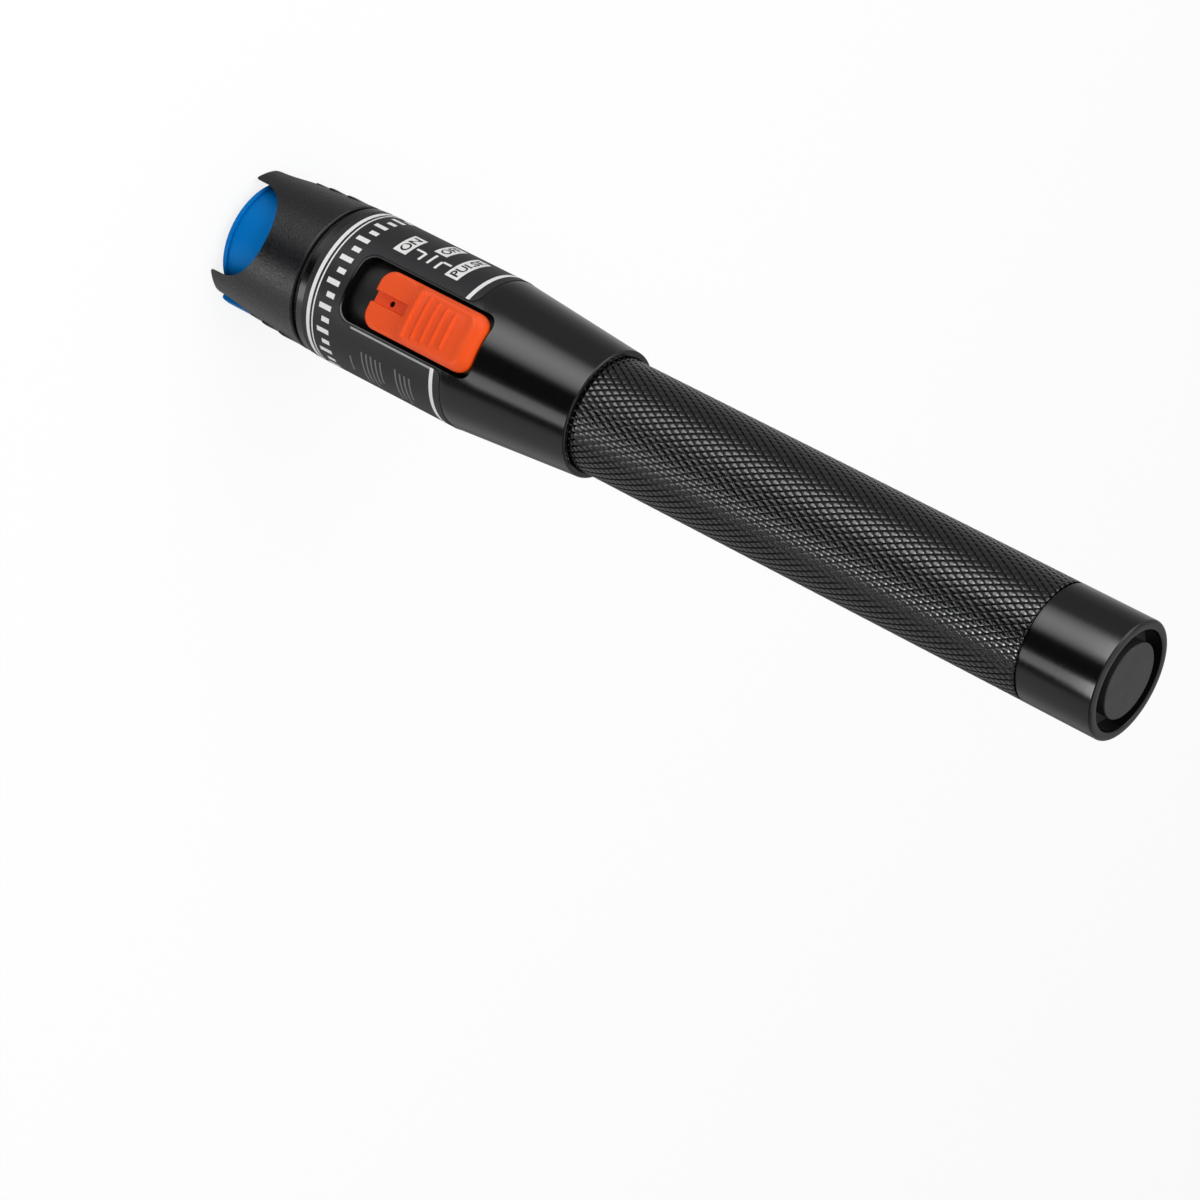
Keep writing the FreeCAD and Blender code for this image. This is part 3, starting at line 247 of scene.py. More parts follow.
def new_material(name, base, roughness, metallic=0.0, specular=0.5):
    material = bpy.data.materials.new(name)
    material.use_nodes = True
    shader = material.node_tree.nodes["Principled BSDF"]
    shader.inputs["Base Color"].default_value = (*base, 1)
    shader.inputs["Roughness"].default_value = roughness
    shader.inputs["Metallic"].default_value = metallic
    shader.inputs["Specular IOR Level"].default_value = specular
    return material


def grain(material, scale, depth, stretch=(1, 1, 1), detail=3.0):
    """A fine noise bump in the object's own place. Returns the noise's value."""
    tree = material.node_tree
    place = add_node(tree, "ShaderNodeTexCoord")
    mapping = add_node(tree, "ShaderNodeMapping")
    mapping.inputs["Scale"].default_value = stretch
    tree.links.new(place.outputs["Object"], mapping.inputs["Vector"])
    noise = add_node(tree, "ShaderNodeTexNoise")
    noise.inputs["Scale"].default_value = scale
    noise.inputs["Detail"].default_value = detail
    tree.links.new(mapping.outputs[0], noise.inputs["Vector"])
    bump = add_node(tree, "ShaderNodeBump")
    bump.inputs["Strength"].default_value = 1.0
    bump.inputs["Distance"].default_value = depth
    tree.links.new(noise.outputs["Fac"], bump.inputs["Height"])
    tree.links.new(bump.outputs["Normal"], tree.nodes["Principled BSDF"].inputs["Normal"])
    return noise.outputs["Fac"]


# most of a noise's values lie between these two
noise_low, noise_high = 0.3, 0.7


def vary(material, value, socket, low, high):
    """Sets a shader input from a 0 to 1 value, between two numbers or two colours."""
    tree = material.node_tree
    if isinstance(low, tuple):
        node = add_node(tree, "ShaderNodeMix", data_type="RGBA")
        node.inputs[6].default_value = (*low, 1)
        node.inputs[7].default_value = (*high, 1)
        tree.links.new(value, node.inputs[0])
        result = node.outputs[2]
    else:
        node = add_node(tree, "ShaderNodeMapRange")
        node.inputs["From Min"].default_value = noise_low
        node.inputs["From Max"].default_value = noise_high
        node.inputs["To Min"].default_value = low
        node.inputs["To Max"].default_value = high
        tree.links.new(value, node.inputs["Value"])
        result = node.outputs[0]
    tree.links.new(result, tree.nodes["Principled BSDF"].inputs[socket])


def dress(node, material):
    """Gives a CAD node its finish."""
    mesh = cad[node].data
    mesh.materials.clear()
    mesh.materials.append(material)


rubber = new_material("moulded_rubber", (0.0055, 0.006, 0.0075), 0.3, specular=0.45)
speckle = grain(rubber, 2600, 0.00005)
vary(rubber, speckle, "Roughness", 0.24, 0.38)
vary(rubber, speckle, "Base Color", (0.004, 0.0045, 0.006), (0.008, 0.0085, 0.01))
dress("crown_boot", rubber)


# ---- nose and fibre port ----
# The nose is a dark moulding that screws into the head; its flange is the seam behind the
# crown. The port is a nickel-plated adapter with a ground zirconia sleeve, held by a thin nut.

nose_plastic = new_material("nose_plastic", (0.008, 0.008, 0.009), 0.5)
vary(nose_plastic, grain(nose_plastic, 4000, 0.00001), "Roughness", 0.42, 0.58)
dress("nose_piece", nose_plastic)

nickel = new_material("bright_nickel", (0.66, 0.63, 0.58), 0.2, metallic=1.0)
vary(nickel, grain(nickel, 900, 0.000004, stretch=(1, 1, 8)), "Roughness", 0.14, 0.28)
for name in ("ferrule_adapter", "adapter_nut"):
    dress(name, nickel)

zirconia = new_material("zirconia", (0.86, 0.85, 0.8), 0.25)
vary(zirconia, grain(zirconia, 3000, 0.000002), "Roughness", 0.18, 0.32)
dress("ceramic_sleeve", zirconia)


# ---- dust cap ----
# A soft blue polyethylene cap that grips the port's barrel. It shines a little, and light
# goes a little way into it.

cap_plastic = new_material("blue_polyethylene", (0.0, 0.172, 0.54), 0.34, specular=0.14)
shader = cap_plastic.node_tree.nodes["Principled BSDF"]
shader.inputs["Specular Tint"].default_value = (0.1, 0.55, 1.0, 1)
shader.inputs["Subsurface Weight"].default_value = 0.12
shader.inputs["Subsurface Radius"].default_value = (0.0004, 0.0008, 0.0016)
shader.inputs["Subsurface Scale"].default_value = 1.0
cloud = grain(cap_plastic, 2600, 0.000008)
vary(cap_plastic, cloud, "Roughness", 0.28, 0.4)
vary(cap_plastic, cloud, "Base Color", (0.0, 0.155, 0.49), (0.0, 0.178, 0.55))
dress("dust_cap", cap_plastic)


# ---- laser module ----
# A turned brass barrel with a glass lens, a spacer and the diode in it. A ring screwed in behind
# the diode holds it, and the barrel sits in the front wall of the carrier.

brass = new_material("turned_brass", (0.72, 0.52, 0.2), 0.25, metallic=1.0)
vary(brass, grain(brass, 700, 0.000006, stretch=(0.2, 0.2, 12)), "Roughness", 0.18, 0.34)
for name in ("laser_housing", "lens_spacer", "diode_ring"):
    dress(name, brass)

glass = new_material("lens_glass", (0.95, 0.98, 1.0), 0.02)
shader = glass.node_tree.nodes["Principled BSDF"]
shader.inputs["Transmission Weight"].default_value = 1.0
shader.inputs["IOR"].default_value = 1.6
dress("focus_lens", glass)

steel = new_material("plain_steel", (0.5, 0.5, 0.5), 0.28, metallic=1.0)
vary(steel, grain(steel, 1500, 0.000004), "Roughness", 0.2, 0.38)
dress("laser_diode", steel)


# ---- head shell ----
# An aluminium turning, black anodised over a fine satin finish, so that it carries long soft
# highlights. The window for the slider is milled into its front.

anodised = new_material("black_anodised", (0.0028, 0.003, 0.0034), 0.12)
lathe_lines = grain(anodised, 260, 0.0000012, stretch=(0.15, 0.15, 60), detail=4.0)
vary(anodised, lathe_lines, "Roughness", 0.08, 0.16)
dress("head_shell", anodised)


# ---- label ----
# A thin printed film wrapped round the head and notched round the window. Its print is two front
# bands, a ring of index bars, the switch's legend and a rear band in white, with grey lines. A pale line
# along one edge of the window is a painted highlight of the film's edge.

film = new_material("printed_film", (0.019, 0.019, 0.021), 0.42, specular=0.25)
tooth = grain(film, 6000, 0.000006)
vary(film, tooth, "Roughness", 0.4, 0.5)
vary(film, tooth, "Base Color", (0.016, 0.016, 0.018), (0.022, 0.022, 0.024))
dress("label_wrap", film)

ink = new_material("white_ink", (0.78, 0.78, 0.77), 0.5, specular=0.3)
vary(ink, grain(ink, 5000, 0.000003), "Base Color", (0.7, 0.7, 0.69), (0.84, 0.84, 0.83))
faint_ink = new_material("grey_ink", (0.16, 0.16, 0.165), 0.5, specular=0.3)
vary(faint_ink, grain(faint_ink, 5000, 0.000003), "Base Color", (0.12, 0.12, 0.125), (0.2, 0.2, 0.205))
# painted highlight: the pale grey of the glint along the window's edge, not an ink of the print
painted_glint_ink = new_material("painted_glint_ink", (0.36, 0.36, 0.365), 0.4, specular=0.4)
vary(painted_glint_ink, grain(painted_glint_ink, 5000, 0.000003), "Base Color", (0.28, 0.28, 0.285), (0.42, 0.42, 0.425))
black_ink = new_material("black_ink", (0.01, 0.01, 0.011), 0.5, specular=0.3)
vary(black_ink, grain(black_ink, 5000, 0.000003), "Base Color",
     (0.008, 0.008, 0.009), (0.014, 0.014, 0.015))

MM = 0.001
film_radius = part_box("label_wrap")[1].x
ink_depth = 0.012 * MM
facet = math.radians(1.5)
full_turn = 2 * math.pi


def on_film(bearing, height, lift=0.0):
    """The point on the film at a bearing in radians from the front towards -X."""
    radius = film_radius + lift
    return Vector((-radius * math.sin(bearing), -radius * math.cos(bearing), height))


def print_block(bm, left, right, low, high):
    """A printed rectangle, as a thin closed patch that follows the film."""
    steps = max(1, math.ceil(abs(right - left) / facet))
    columns = []
    for step in range(steps + 1):
        bearing = left + (right - left) * step / steps
        columns.append([
            bm.verts.new(on_film(bearing, height, depth))
            for height, depth in (
                (low, -ink_depth), (low, ink_depth), (high, ink_depth), (high, -ink_depth))])
    closed_ring = abs(abs(right - left) - full_turn) < 1e-6
    if closed_ring:
        for vert in columns.pop():
            bm.verts.remove(vert)
    pairs = zip(columns, columns[1:] + (columns[:1] if closed_ring else []))
    for here, there in pairs:
        for side in range(4):
            turn = (side + 1) % 4
            bm.faces.new((here[side], here[turn], there[turn], there[side]))
    if not closed_ring:
        bm.faces.new(reversed(columns[0]))
        bm.faces.new(columns[-1])


def add_print(name, mesh, material):
    """Makes a mesh one piece of the film's print."""
    mesh.materials.append(material)
    piece = add_object(name, mesh)
    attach(piece, "head")


def finish_print(name, bm, material):
    bmesh.ops.recalc_face_normals(bm, faces=bm.faces)
    mesh = bpy.data.meshes.new(name)
    bm.to_mesh(mesh)
    bm.free()
    add_print(name, mesh, material)


window_half = 5.7 * MM
film_margin = 0.35 * MM
print_margin = 0.12 * MM
window_side = math.asin((window_half + film_margin + print_margin) / film_radius)
front_bands = [(23.08 * MM, 23.78 * MM), (24.24 * MM, 24.5 * MM)]
rear_band_low, rear_band_high = 49.85 * MM, 50.6 * MM

bands = bmesh.new()
for low, high in front_bands:
    print_block(bands, -math.pi, math.pi, low, high)
print_block(bands, window_side, full_turn - window_side, rear_band_low, rear_band_high)
finish_print("printed_bands", bands, ink)

index_bars = bmesh.new()
bar_count = 38
bar_low, bar_high = 25.45 * MM, 28.0 * MM
short_bar = 0.9 * MM
bar_half = 0.45 * MM / film_radius
for place in range(bar_count):
    middle = -math.pi + full_turn * (place + 0.5) / bar_count
    cut_back = short_bar if place % 2 else 0.0
    print_block(index_bars, middle - bar_half, middle + bar_half, bar_low + cut_back, bar_high)
finish_print("index_bars", index_bars, ink)

# a painted highlight: a pale line along one edge of the window, standing in for the glint of the film's
# edge
painted_glint_line = bmesh.new()
line_size = 0.36 * MM / film_radius
line_low = 32.6 * MM
print_block(painted_glint_line, -window_side - line_size, -window_side, line_low, rear_band_low)
finish_print("painted_glint_line", painted_glint_line, painted_glint_ink)

# the legend of the three switch positions: a box each, joined to its place by a tick. Heights are
# in millimetres and bearings in degrees
legend = bmesh.new()
for low, high, left, right in (
    (32.3, 35.0, 37.7, 61.7), (37.8, 40.5, 54.4, 78.2), (43.4, 46.1, 37.7, 75.2),
):
    print_block(legend, math.radians(left), math.radians(right), low * MM, high * MM)
tick_half = 0.24 * MM
for middle, start, end in ((37.5, 39.1, 48.1), (39.2, 39.8, 51.6), (41.05, 38.7, 47.6)):
    print_block(
        legend, math.radians(start), math.radians(end), middle * MM - tick_half, middle * MM + tick_half)
tick_bend = math.radians(47.8)
tick_side = tick_half / film_radius
for low, high in ((35.5, 37.3), (41.2, 42.9)):
    print_block(legend, tick_bend - tick_side, tick_bend + tick_side, low * MM, high * MM)
finish_print("switch_legend", legend, ink)

# two blocks of thin grey lines beside the window
small_print = bmesh.new()
small_line = 0.32 * MM
for height, start, end in (
    (32.4, -68, -53), (35.1, -78, -44), (36.1, -74, -44), (37.1, -77, -44), (38.1, -70, -45),
    (39.1, -66, -45), (42.4, -76, -44), (43.4, -73, -46), (44.4, -77, -46), (45.4, -68, -46),
):
    print_block(small_print, math.radians(start), math.radians(end), height * MM, height * MM + small_line)
finish_print("small_print_lines", small_print, faint_ink)


letter_boldness = 0.022


def wrap_word(name, word, left, right, low, high):
    """A printed word between two bearings, its letters' feet towards the tail."""
    curve = bpy.data.curves.new(name, "FONT")
    curve.body = word
    curve.resolution_u = 3
    curve.offset = letter_boldness
    flat = add_object(name + "_flat", curve)
    bpy.context.view_layer.update()
    mesh = bpy.data.meshes.new_from_object(flat.evaluated_get(bpy.context.evaluated_depsgraph_get()))
    bpy.data.objects.remove(flat)
    xs = [vert.co.x for vert in mesh.vertices]
    ys = [vert.co.y for vert in mesh.vertices]
    for vert in mesh.vertices:
        across = (vert.co.x - min(xs)) / (max(xs) - min(xs))
        up = (vert.co.y - min(ys)) / (max(ys) - min(ys))
        vert.co = on_film(left + (right - left) * across, high + (low - high) * up, 2 * ink_depth)
    bm = bmesh.new()
    bm.from_mesh(mesh)
    bmesh.ops.recalc_face_normals(bm, faces=bm.faces)
    outward = 0.0
    for face in bm.faces:
        centre = face.calc_center_median()
        outward += face.normal.dot(Vector((centre.x, centre.y, 0)))
    if outward < 0:
        bmesh.ops.reverse_faces(bm, faces=bm.faces)
    bm.to_mesh(mesh)
    bm.free()
    mesh.name = name
    add_print(name, mesh, black_ink)


for name, word, left, right, low, high in (
    ("legend_on", "ON", 40.2, 59.2, 32.8, 34.5),
    ("legend_off", "OFF", 56.7, 75.7, 38.3, 40.0),
    ("legend_pulse", "PULSE", 40.2, 72.7, 43.92, 45.57),
):
    wrap_word(name, word, math.radians(left), math.radians(right), low * MM, high * MM)


# ---- slide switch ----
# An orange nylon thumb slider over a black tray. Its fork moves the knob of a small slide
# switch on the circuit board.

orange = new_material("orange_nylon", (0.8, 0.075, 0.004), 0.36, specular=0.3)
shader = orange.node_tree.nodes["Principled BSDF"]
shader.inputs["Subsurface Weight"].default_value = 0.1
shader.inputs["Subsurface Radius"].default_value = (0.0012, 0.0004, 0.0002)
shader.inputs["Subsurface Scale"].default_value = 1.0
mould = grain(orange, 3800, 0.00001)
vary(orange, mould, "Roughness", 0.32, 0.46)
vary(orange, mould, "Base Color", (0.77, 0.068, 0.003), (0.83, 0.082, 0.006))

# heights are from the pen's axis, and places are from the slider's front end
slider_low, slider_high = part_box("switch_slider")
slider_front = slider_low.z
slider_size = slider_high.z - slider_front
slider_half = slider_high.x
slider_foot = 11.35 * MM
step_level = 12.95 * MM
pad_level = 14.1 * MM
step_crown = 0.12 * MM
pad_crown = 0.45 * MM
front_corner = 2.6 * MM
back_corner = 2.9 * MM
ramp_start = 7.2 * MM
ramp_size = 1.9 * MM
back_slope_start = 20.2 * MM
back_slope_size = 3.0 * MM
back_drop = 0.3 * MM
step_round = 0.6 * MM
pad_round = 1.3 * MM
back_round = 0.8 * MM
back_round_start = 19.0 * MM
back_round_size = 2.5 * MM
hollow_start = 9.6 * MM
hollow_end = 20.5 * MM
hollow_half = 4.6 * MM
hollow_depth = 0.22 * MM
hollow_side = 1.2 * MM
hollow_back = 2.0 * MM
notch_half = 0.95 * MM
notch_size = 7.1 * MM
notch_floor = 11.65 * MM
notch_edge = 0.08 * MM
hole_place = 3.5 * MM
hole_radius = 0.5 * MM
rib_place = 9.2 * MM
rib_pitch = 1.9 * MM
rib_reaches = [4.3 * MM, 3.9 * MM, 3.65 * MM, 3.4 * MM, 3.15 * MM]
rib_rise = 0.45 * MM
rib_half = 0.42 * MM
rib_fade = 0.3 * MM
rib_sharpness = 1.4
cell_size = 0.11 * MM
edge_steps = [0.008 * MM, 0.03 * MM, 0.06 * MM]
core_half = 2.2 * MM
edge_crowding = 1.5


def ease(value):
    """A smooth step from 0 to 1."""
    value = min(1.0, max(0.0, value))
    return value * value * (3 - 2 * value)


def inside_outline(x, along):
    """How far a point of the slider's plan is inside its outline."""
    corner = front_corner if along < slider_size / 2 else back_corner
    across = abs(x) - (slider_half - corner)
    lengthways = abs(along - slider_size / 2) - (slider_size / 2 - corner)
    outside = math.hypot(max(across, 0.0), max(lengthways, 0.0))
    return corner - outside - min(max(across, lengthways), 0.0)


def half_width(along):
    """Half of the slider's width at a distance from its front end."""
    end = min(along, slider_size - along)
    corner = front_corner if along < slider_size / 2 else back_corner
    if end >= corner:
        return slider_half
    return slider_half - corner + math.sqrt(max(0.0, corner ** 2 - (corner - end) ** 2))


def slider_level(x, along):
    """Height of the slider's upper face over the pen's axis."""
    ramp = ease((along - ramp_start) / ramp_size)
    level = step_level + (pad_level - step_level) * ramp
    level -= (step_crown + (pad_crown - step_crown) * ramp) * (x / slider_half) ** 2
    level -= back_drop * ease((along - back_slope_start) / back_slope_size)
    hollow = ease((along - hollow_start) / hollow_side) * ease((hollow_end - along) / hollow_back)
    level -= hollow_depth * hollow * ease((hollow_half - abs(x)) / hollow_side)
    for rib, reach in enumerate(rib_reaches):
        offset = abs(along - rib_place - rib * rib_pitch)
        if offset < rib_half:
            bulge = math.cos(offset / rib_half * math.pi / 2) ** rib_sharpness
            level += rib_rise * bulge * ease((reach - abs(x)) / rib_fade)
    edge = step_round + (pad_round - step_round) * ramp
    edge += back_round * ease((along - back_round_start) / back_round_size)
    inside = inside_outline(x, along)
    if inside < edge:
        level -= edge - math.sqrt(max(0.0, edge ** 2 - (edge - inside) ** 2))
    side = ease((notch_half + notch_edge - abs(x)) / (2 * notch_edge))
    end = ease((notch_size + notch_edge - along) / (2 * notch_edge))
    return level + (notch_floor - level) * side * end


# a grid over the slider's plan: stations from front to back, and shares of the width at each
station_count = round(slider_size / cell_size)
stations = [slider_size * step / station_count for step in range(station_count + 1)]
stations[1:1] = edge_steps
stations[-1:-1] = [slider_size - step for step in reversed(edge_steps)]
core_steps = round(core_half / cell_size)
outer_steps = round((slider_half - core_half) / cell_size)
shares = [(step / core_steps, 0.0) for step in range(core_steps + 1)]
shares += [(1.0, 1 - (1 - step / outer_steps) ** edge_crowding) for step in range(1, outer_steps + 1)]
shares = [(-core, -outer) for core, outer in reversed(shares[1:])] + shares
thumb = bmesh.new()
grid = []
for along in stations:
    outer_half = half_width(along) - core_half
    line = []
    for core, outer in shares:
        x = core * core_half + outer * outer_half
        line.append(thumb.verts.new((x, -slider_level(x, along), slider_front + along)))
    grid.append(line)
under = {}
for line in grid:
    for vert in line:
        under[vert] = thumb.verts.new((vert.co.x, -slider_foot, vert.co.z))
for line, after in zip(grid, grid[1:]):
    for place in range(len(shares) - 1):
        corners = (line[place], line[place + 1], after[place + 1], after[place])
        middle = sum((corner.co for corner in corners), Vector()) / 4
        if math.hypot(middle.x, middle.z - slider_front - hole_place) > hole_radius:
            thumb.faces.new(corners)
            thumb.faces.new([under[corner] for corner in reversed(corners)])
for edge in [edge for edge in thumb.edges if edge.is_boundary and edge.verts[0] in under]:
    near, far = edge.verts
    thumb.faces.new((near, far, under[far], under[near]))
bmesh.ops.delete(thumb, geom=[vert for vert in thumb.verts if not vert.link_faces], context="VERTS")

# the fork under it, cut from a copy of the frame's slider and let a little way into the thumb piece
fork_mesh = cad["switch_slider"].data.copy()
fork = bmesh.new()
fork.from_mesh(fork_mesh)
bmesh.ops.remove_doubles(fork, verts=fork.verts, dist=0.001 * MM)
fork_cut = slider_foot - 0.15 * MM
fork_sink = 0.3 * MM
bmesh.ops.bisect_plane(
    fork, geom=fork.verts[:] + fork.edges[:] + fork.faces[:], plane_co=(0, -fork_cut, 0),
    plane_no=(0, -1, 0), clear_outer=True)
bmesh.ops.holes_fill(fork, edges=[edge for edge in fork.edges if edge.is_boundary])
for vert in fork.verts:
    if vert.co.y < -fork_cut + 0.01 * MM:
        vert.co.y = -slider_foot - fork_sink
fork.to_mesh(fork_mesh)
fork.free()
thumb.from_mesh(fork_mesh)
bpy.data.meshes.remove(fork_mesh)
bmesh.ops.recalc_face_normals(thumb, faces=thumb.faces)
thumb_mesh = bpy.data.meshes.new("thumb_slider")
thumb.to_mesh(thumb_mesh)
thumb.free()
thumb_mesh.polygons.foreach_set("use_smooth", [True] * len(thumb_mesh.polygons))
thumb_mesh.set_sharp_from_angle(angle=math.radians(50))
thumb_mesh.materials.append(orange)
slider = add_object("thumb_slider", thumb_mesh)
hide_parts("switch_slider")
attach(slider, "switch")

tray_plastic = new_material("tray_plastic", (0.004, 0.004, 0.004), 0.5, specular=0.3)
vary(tray_plastic, grain(tray_plastic, 3500, 0.000012), "Roughness", 0.48, 0.62)
dress("slider_tray", tray_plastic)

dark_moulding = new_material("dark_moulding", (0.02, 0.02, 0.021), 0.45)
vary(dark_moulding, grain(dark_moulding, 5000, 0.000008), "Roughness", 0.38, 0.52)
dress("switch_knob", dark_moulding)
dress("switch_body", steel)


# ---- circuit board ----
# A small green board under solder mask, with the driver chip and one capacitor. Four steel screws
# fix it to the rails of the carrier, a black moulding that fills the head.

solder_mask = new_material("green_solder_mask", (0.01, 0.12, 0.04), 0.35)
weave = grain(solder_mask, 1800, 0.000006)
vary(solder_mask, weave, "Base Color", (0.008, 0.1, 0.034), (0.014, 0.15, 0.05))
dress("circuit_board", solder_mask)
dress("driver_chip", dark_moulding)
dress("board_screws", steel)
dress("carrier", tray_plastic)

can = new_material("capacitor_can", (0.62, 0.62, 0.64), 0.3, metallic=1.0)
vary(can, grain(can, 1500, 0.000004), "Roughness", 0.24, 0.36)
dress("capacitor", can)


# ---- battery tube ----
# A thick aluminium tube, black anodised. Most of it is knurled in small domed diamonds, with a
# plain band at the tail. Its neck is threaded into the head behind a rubber ring.

tube_low, tube_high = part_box("grip_tube")
tube_radius = tube_high.x
tail = tube_high.z
shoulder = 74.45 * MM
shoulder_chamfer = 0.15 * MM
knurl_start = shoulder + 1.2 * MM
knurl_depth = 0.24 * MM
band_length = 13.4 * MM
land_proud = 0.012 * MM
groove_width = 0.35 * MM
band_chamfer = 0.06 * MM
knurl_end = tail - band_length
land = tube_radius + land_proud
floor_radius = tube_radius - knurl_depth
ring_low, ring_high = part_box("seal_ring")
ring_proud = 0.24 * MM
neck_radius = ring_high.x - ring_proud
ring_floor = neck_radius - 0.9 * MM
ring_play = 0.05 * MM
thread_pitch = 1.0 * MM
thread_end = 71.8 * MM
thread_depth = 0.35 * MM
thread_crest = neck_radius - 0.3 * MM
thread_root = thread_crest - thread_depth
cell_bore = 7.6 * MM
mouth_bore = 8.35 * MM
plug_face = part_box("tail_plug")[0].z
rim_round = 0.5 * MM
inner_round = 0.18 * MM


def quarter(centre_r, centre_z, radius, start, end, steps=6):
    """Points on an arc in the tube's section, between two angles in degrees."""
    return [
        (centre_r + radius * math.cos(math.radians(start + (end - start) * step / steps)),
         centre_z + radius * math.sin(math.radians(start + (end - start) * step / steps)))
        for step in range(steps + 1)]


def lathe(name, section, material, segments=192):
    """A closed ring turned about Z from a section of (radius, height) points."""
    verts, faces = [], []
    count = len(section)
    for turn in range(segments):
        angle = full_turn * turn / segments
        verts += [(r * math.cos(angle), r * math.sin(angle), z) for r, z in section]
    for turn in range(segments):
        here, there = turn * count, (turn + 1) % segments * count
        for point in range(count):
            after = (point + 1) % count
            faces.append((here + point, there + point, there + after, here + after))
    mesh = bpy.data.meshes.new(name)
    mesh.from_pydata(verts, [], faces)
    bm = bmesh.new()
    bm.from_mesh(mesh)
    bmesh.ops.recalc_face_normals(bm, faces=bm.faces)
    bm.to_mesh(mesh)
    bm.free()
    mesh.polygons.foreach_set("use_smooth", [True] * len(mesh.polygons))
    mesh.set_sharp_from_angle(angle=math.radians(32))
    mesh.materials.append(material)
    return add_object(name, mesh)


tube_anodised = new_material("tube_anodised", (0.0028, 0.003, 0.0034), 0.14)
vary(tube_anodised, grain(tube_anodised, 300, 0.0000012, stretch=(0.15, 0.15, 60), detail=4.0),
     "Roughness", 0.1, 0.18)

ring_middle = (ring_low.z + ring_high.z) / 2
ring_half = (ring_high.z - ring_low.z) / 2 + ring_play
section = [
    (cell_bore, tube_low.z), (thread_root, tube_low.z), (thread_root, thread_end),
    (neck_radius, thread_end), (neck_radius, ring_middle - ring_half),
    (ring_floor, ring_middle - ring_half), (ring_floor, ring_middle + ring_half),
    (neck_radius, ring_middle + ring_half), (neck_radius, shoulder),
    (land - shoulder_chamfer, shoulder), (land, shoulder + shoulder_chamfer), (land, knurl_start),
    (floor_radius, knurl_start), (floor_radius, knurl_end - groove_width), (floor_radius, knurl_end),
    (land - band_chamfer, knurl_end), (land, knurl_end + band_chamfer),
]
section += quarter(land - rim_round, tail - rim_round, rim_round, 0, 90)
section += quarter(mouth_bore + inner_round, tail - inner_round, inner_round, 90, 180, 4)
section += [(mouth_bore, plug_face), (cell_bore, plug_face)]
tube = lathe("battery_tube", section, tube_anodised)
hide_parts("grip_tube")
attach(tube, "tube")

# the thread: one ridge wound round the neck, that fades in and out over a turn
ridge_turns = int((thread_end - tube_low.z) / thread_pitch)
turn_steps = 72
ridge_steps = ridge_turns * turn_steps
ridge_half = 0.42 * MM
crest_half = 0.1 * MM
ridge_sink = 0.1 * MM
least_rise = 0.02 * MM
ridge = bmesh.new()
rows = []
for step in range(ridge_steps + 1):
    angle = full_turn * step / turn_steps
    middle = tube_low.z + ridge_half + thread_pitch * step / turn_steps
    fade = min(1.0, step / turn_steps, (ridge_steps - step) / turn_steps)
    crest = thread_root + least_rise + (thread_depth - least_rise) * fade
    rows.append([
        ridge.verts.new((r * math.cos(angle), r * math.sin(angle), z))
        for r, z in ((thread_root - ridge_sink, middle - ridge_half), (thread_root, middle - ridge_half),
                     (crest, middle - crest_half), (crest, middle + crest_half),
                     (thread_root, middle + ridge_half), (thread_root - ridge_sink, middle + ridge_half))])
for here, there in zip(rows, rows[1:]):
    for side in range(len(here)):
        turn = (side + 1) % len(here)
        ridge.faces.new((here[side], there[side], there[turn], here[turn]))
ridge.faces.new(rows[0])
ridge.faces.new(reversed(rows[-1]))
bmesh.ops.recalc_face_normals(ridge, faces=ridge.faces)
ridge_mesh = bpy.data.meshes.new("neck_thread")
ridge.to_mesh(ridge_mesh)
ridge.free()
ridge_mesh.materials.append(tube_anodised)
thread = add_object("neck_thread", ridge_mesh)
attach(thread, "tube")

# the knurl: domed diamond pads between two sets of grooves, row by row, every second row half
# a step round, cut off by a narrow groove at the plain band
pads_round = 50
pad_pitch = 2.18 * MM
pad_rows = int((knurl_end - shoulder) / (pad_pitch / 2)) + 1
pad_width = full_turn * tube_radius / pads_round
dome_inner = 0.78
dome_shoulder = 0.75


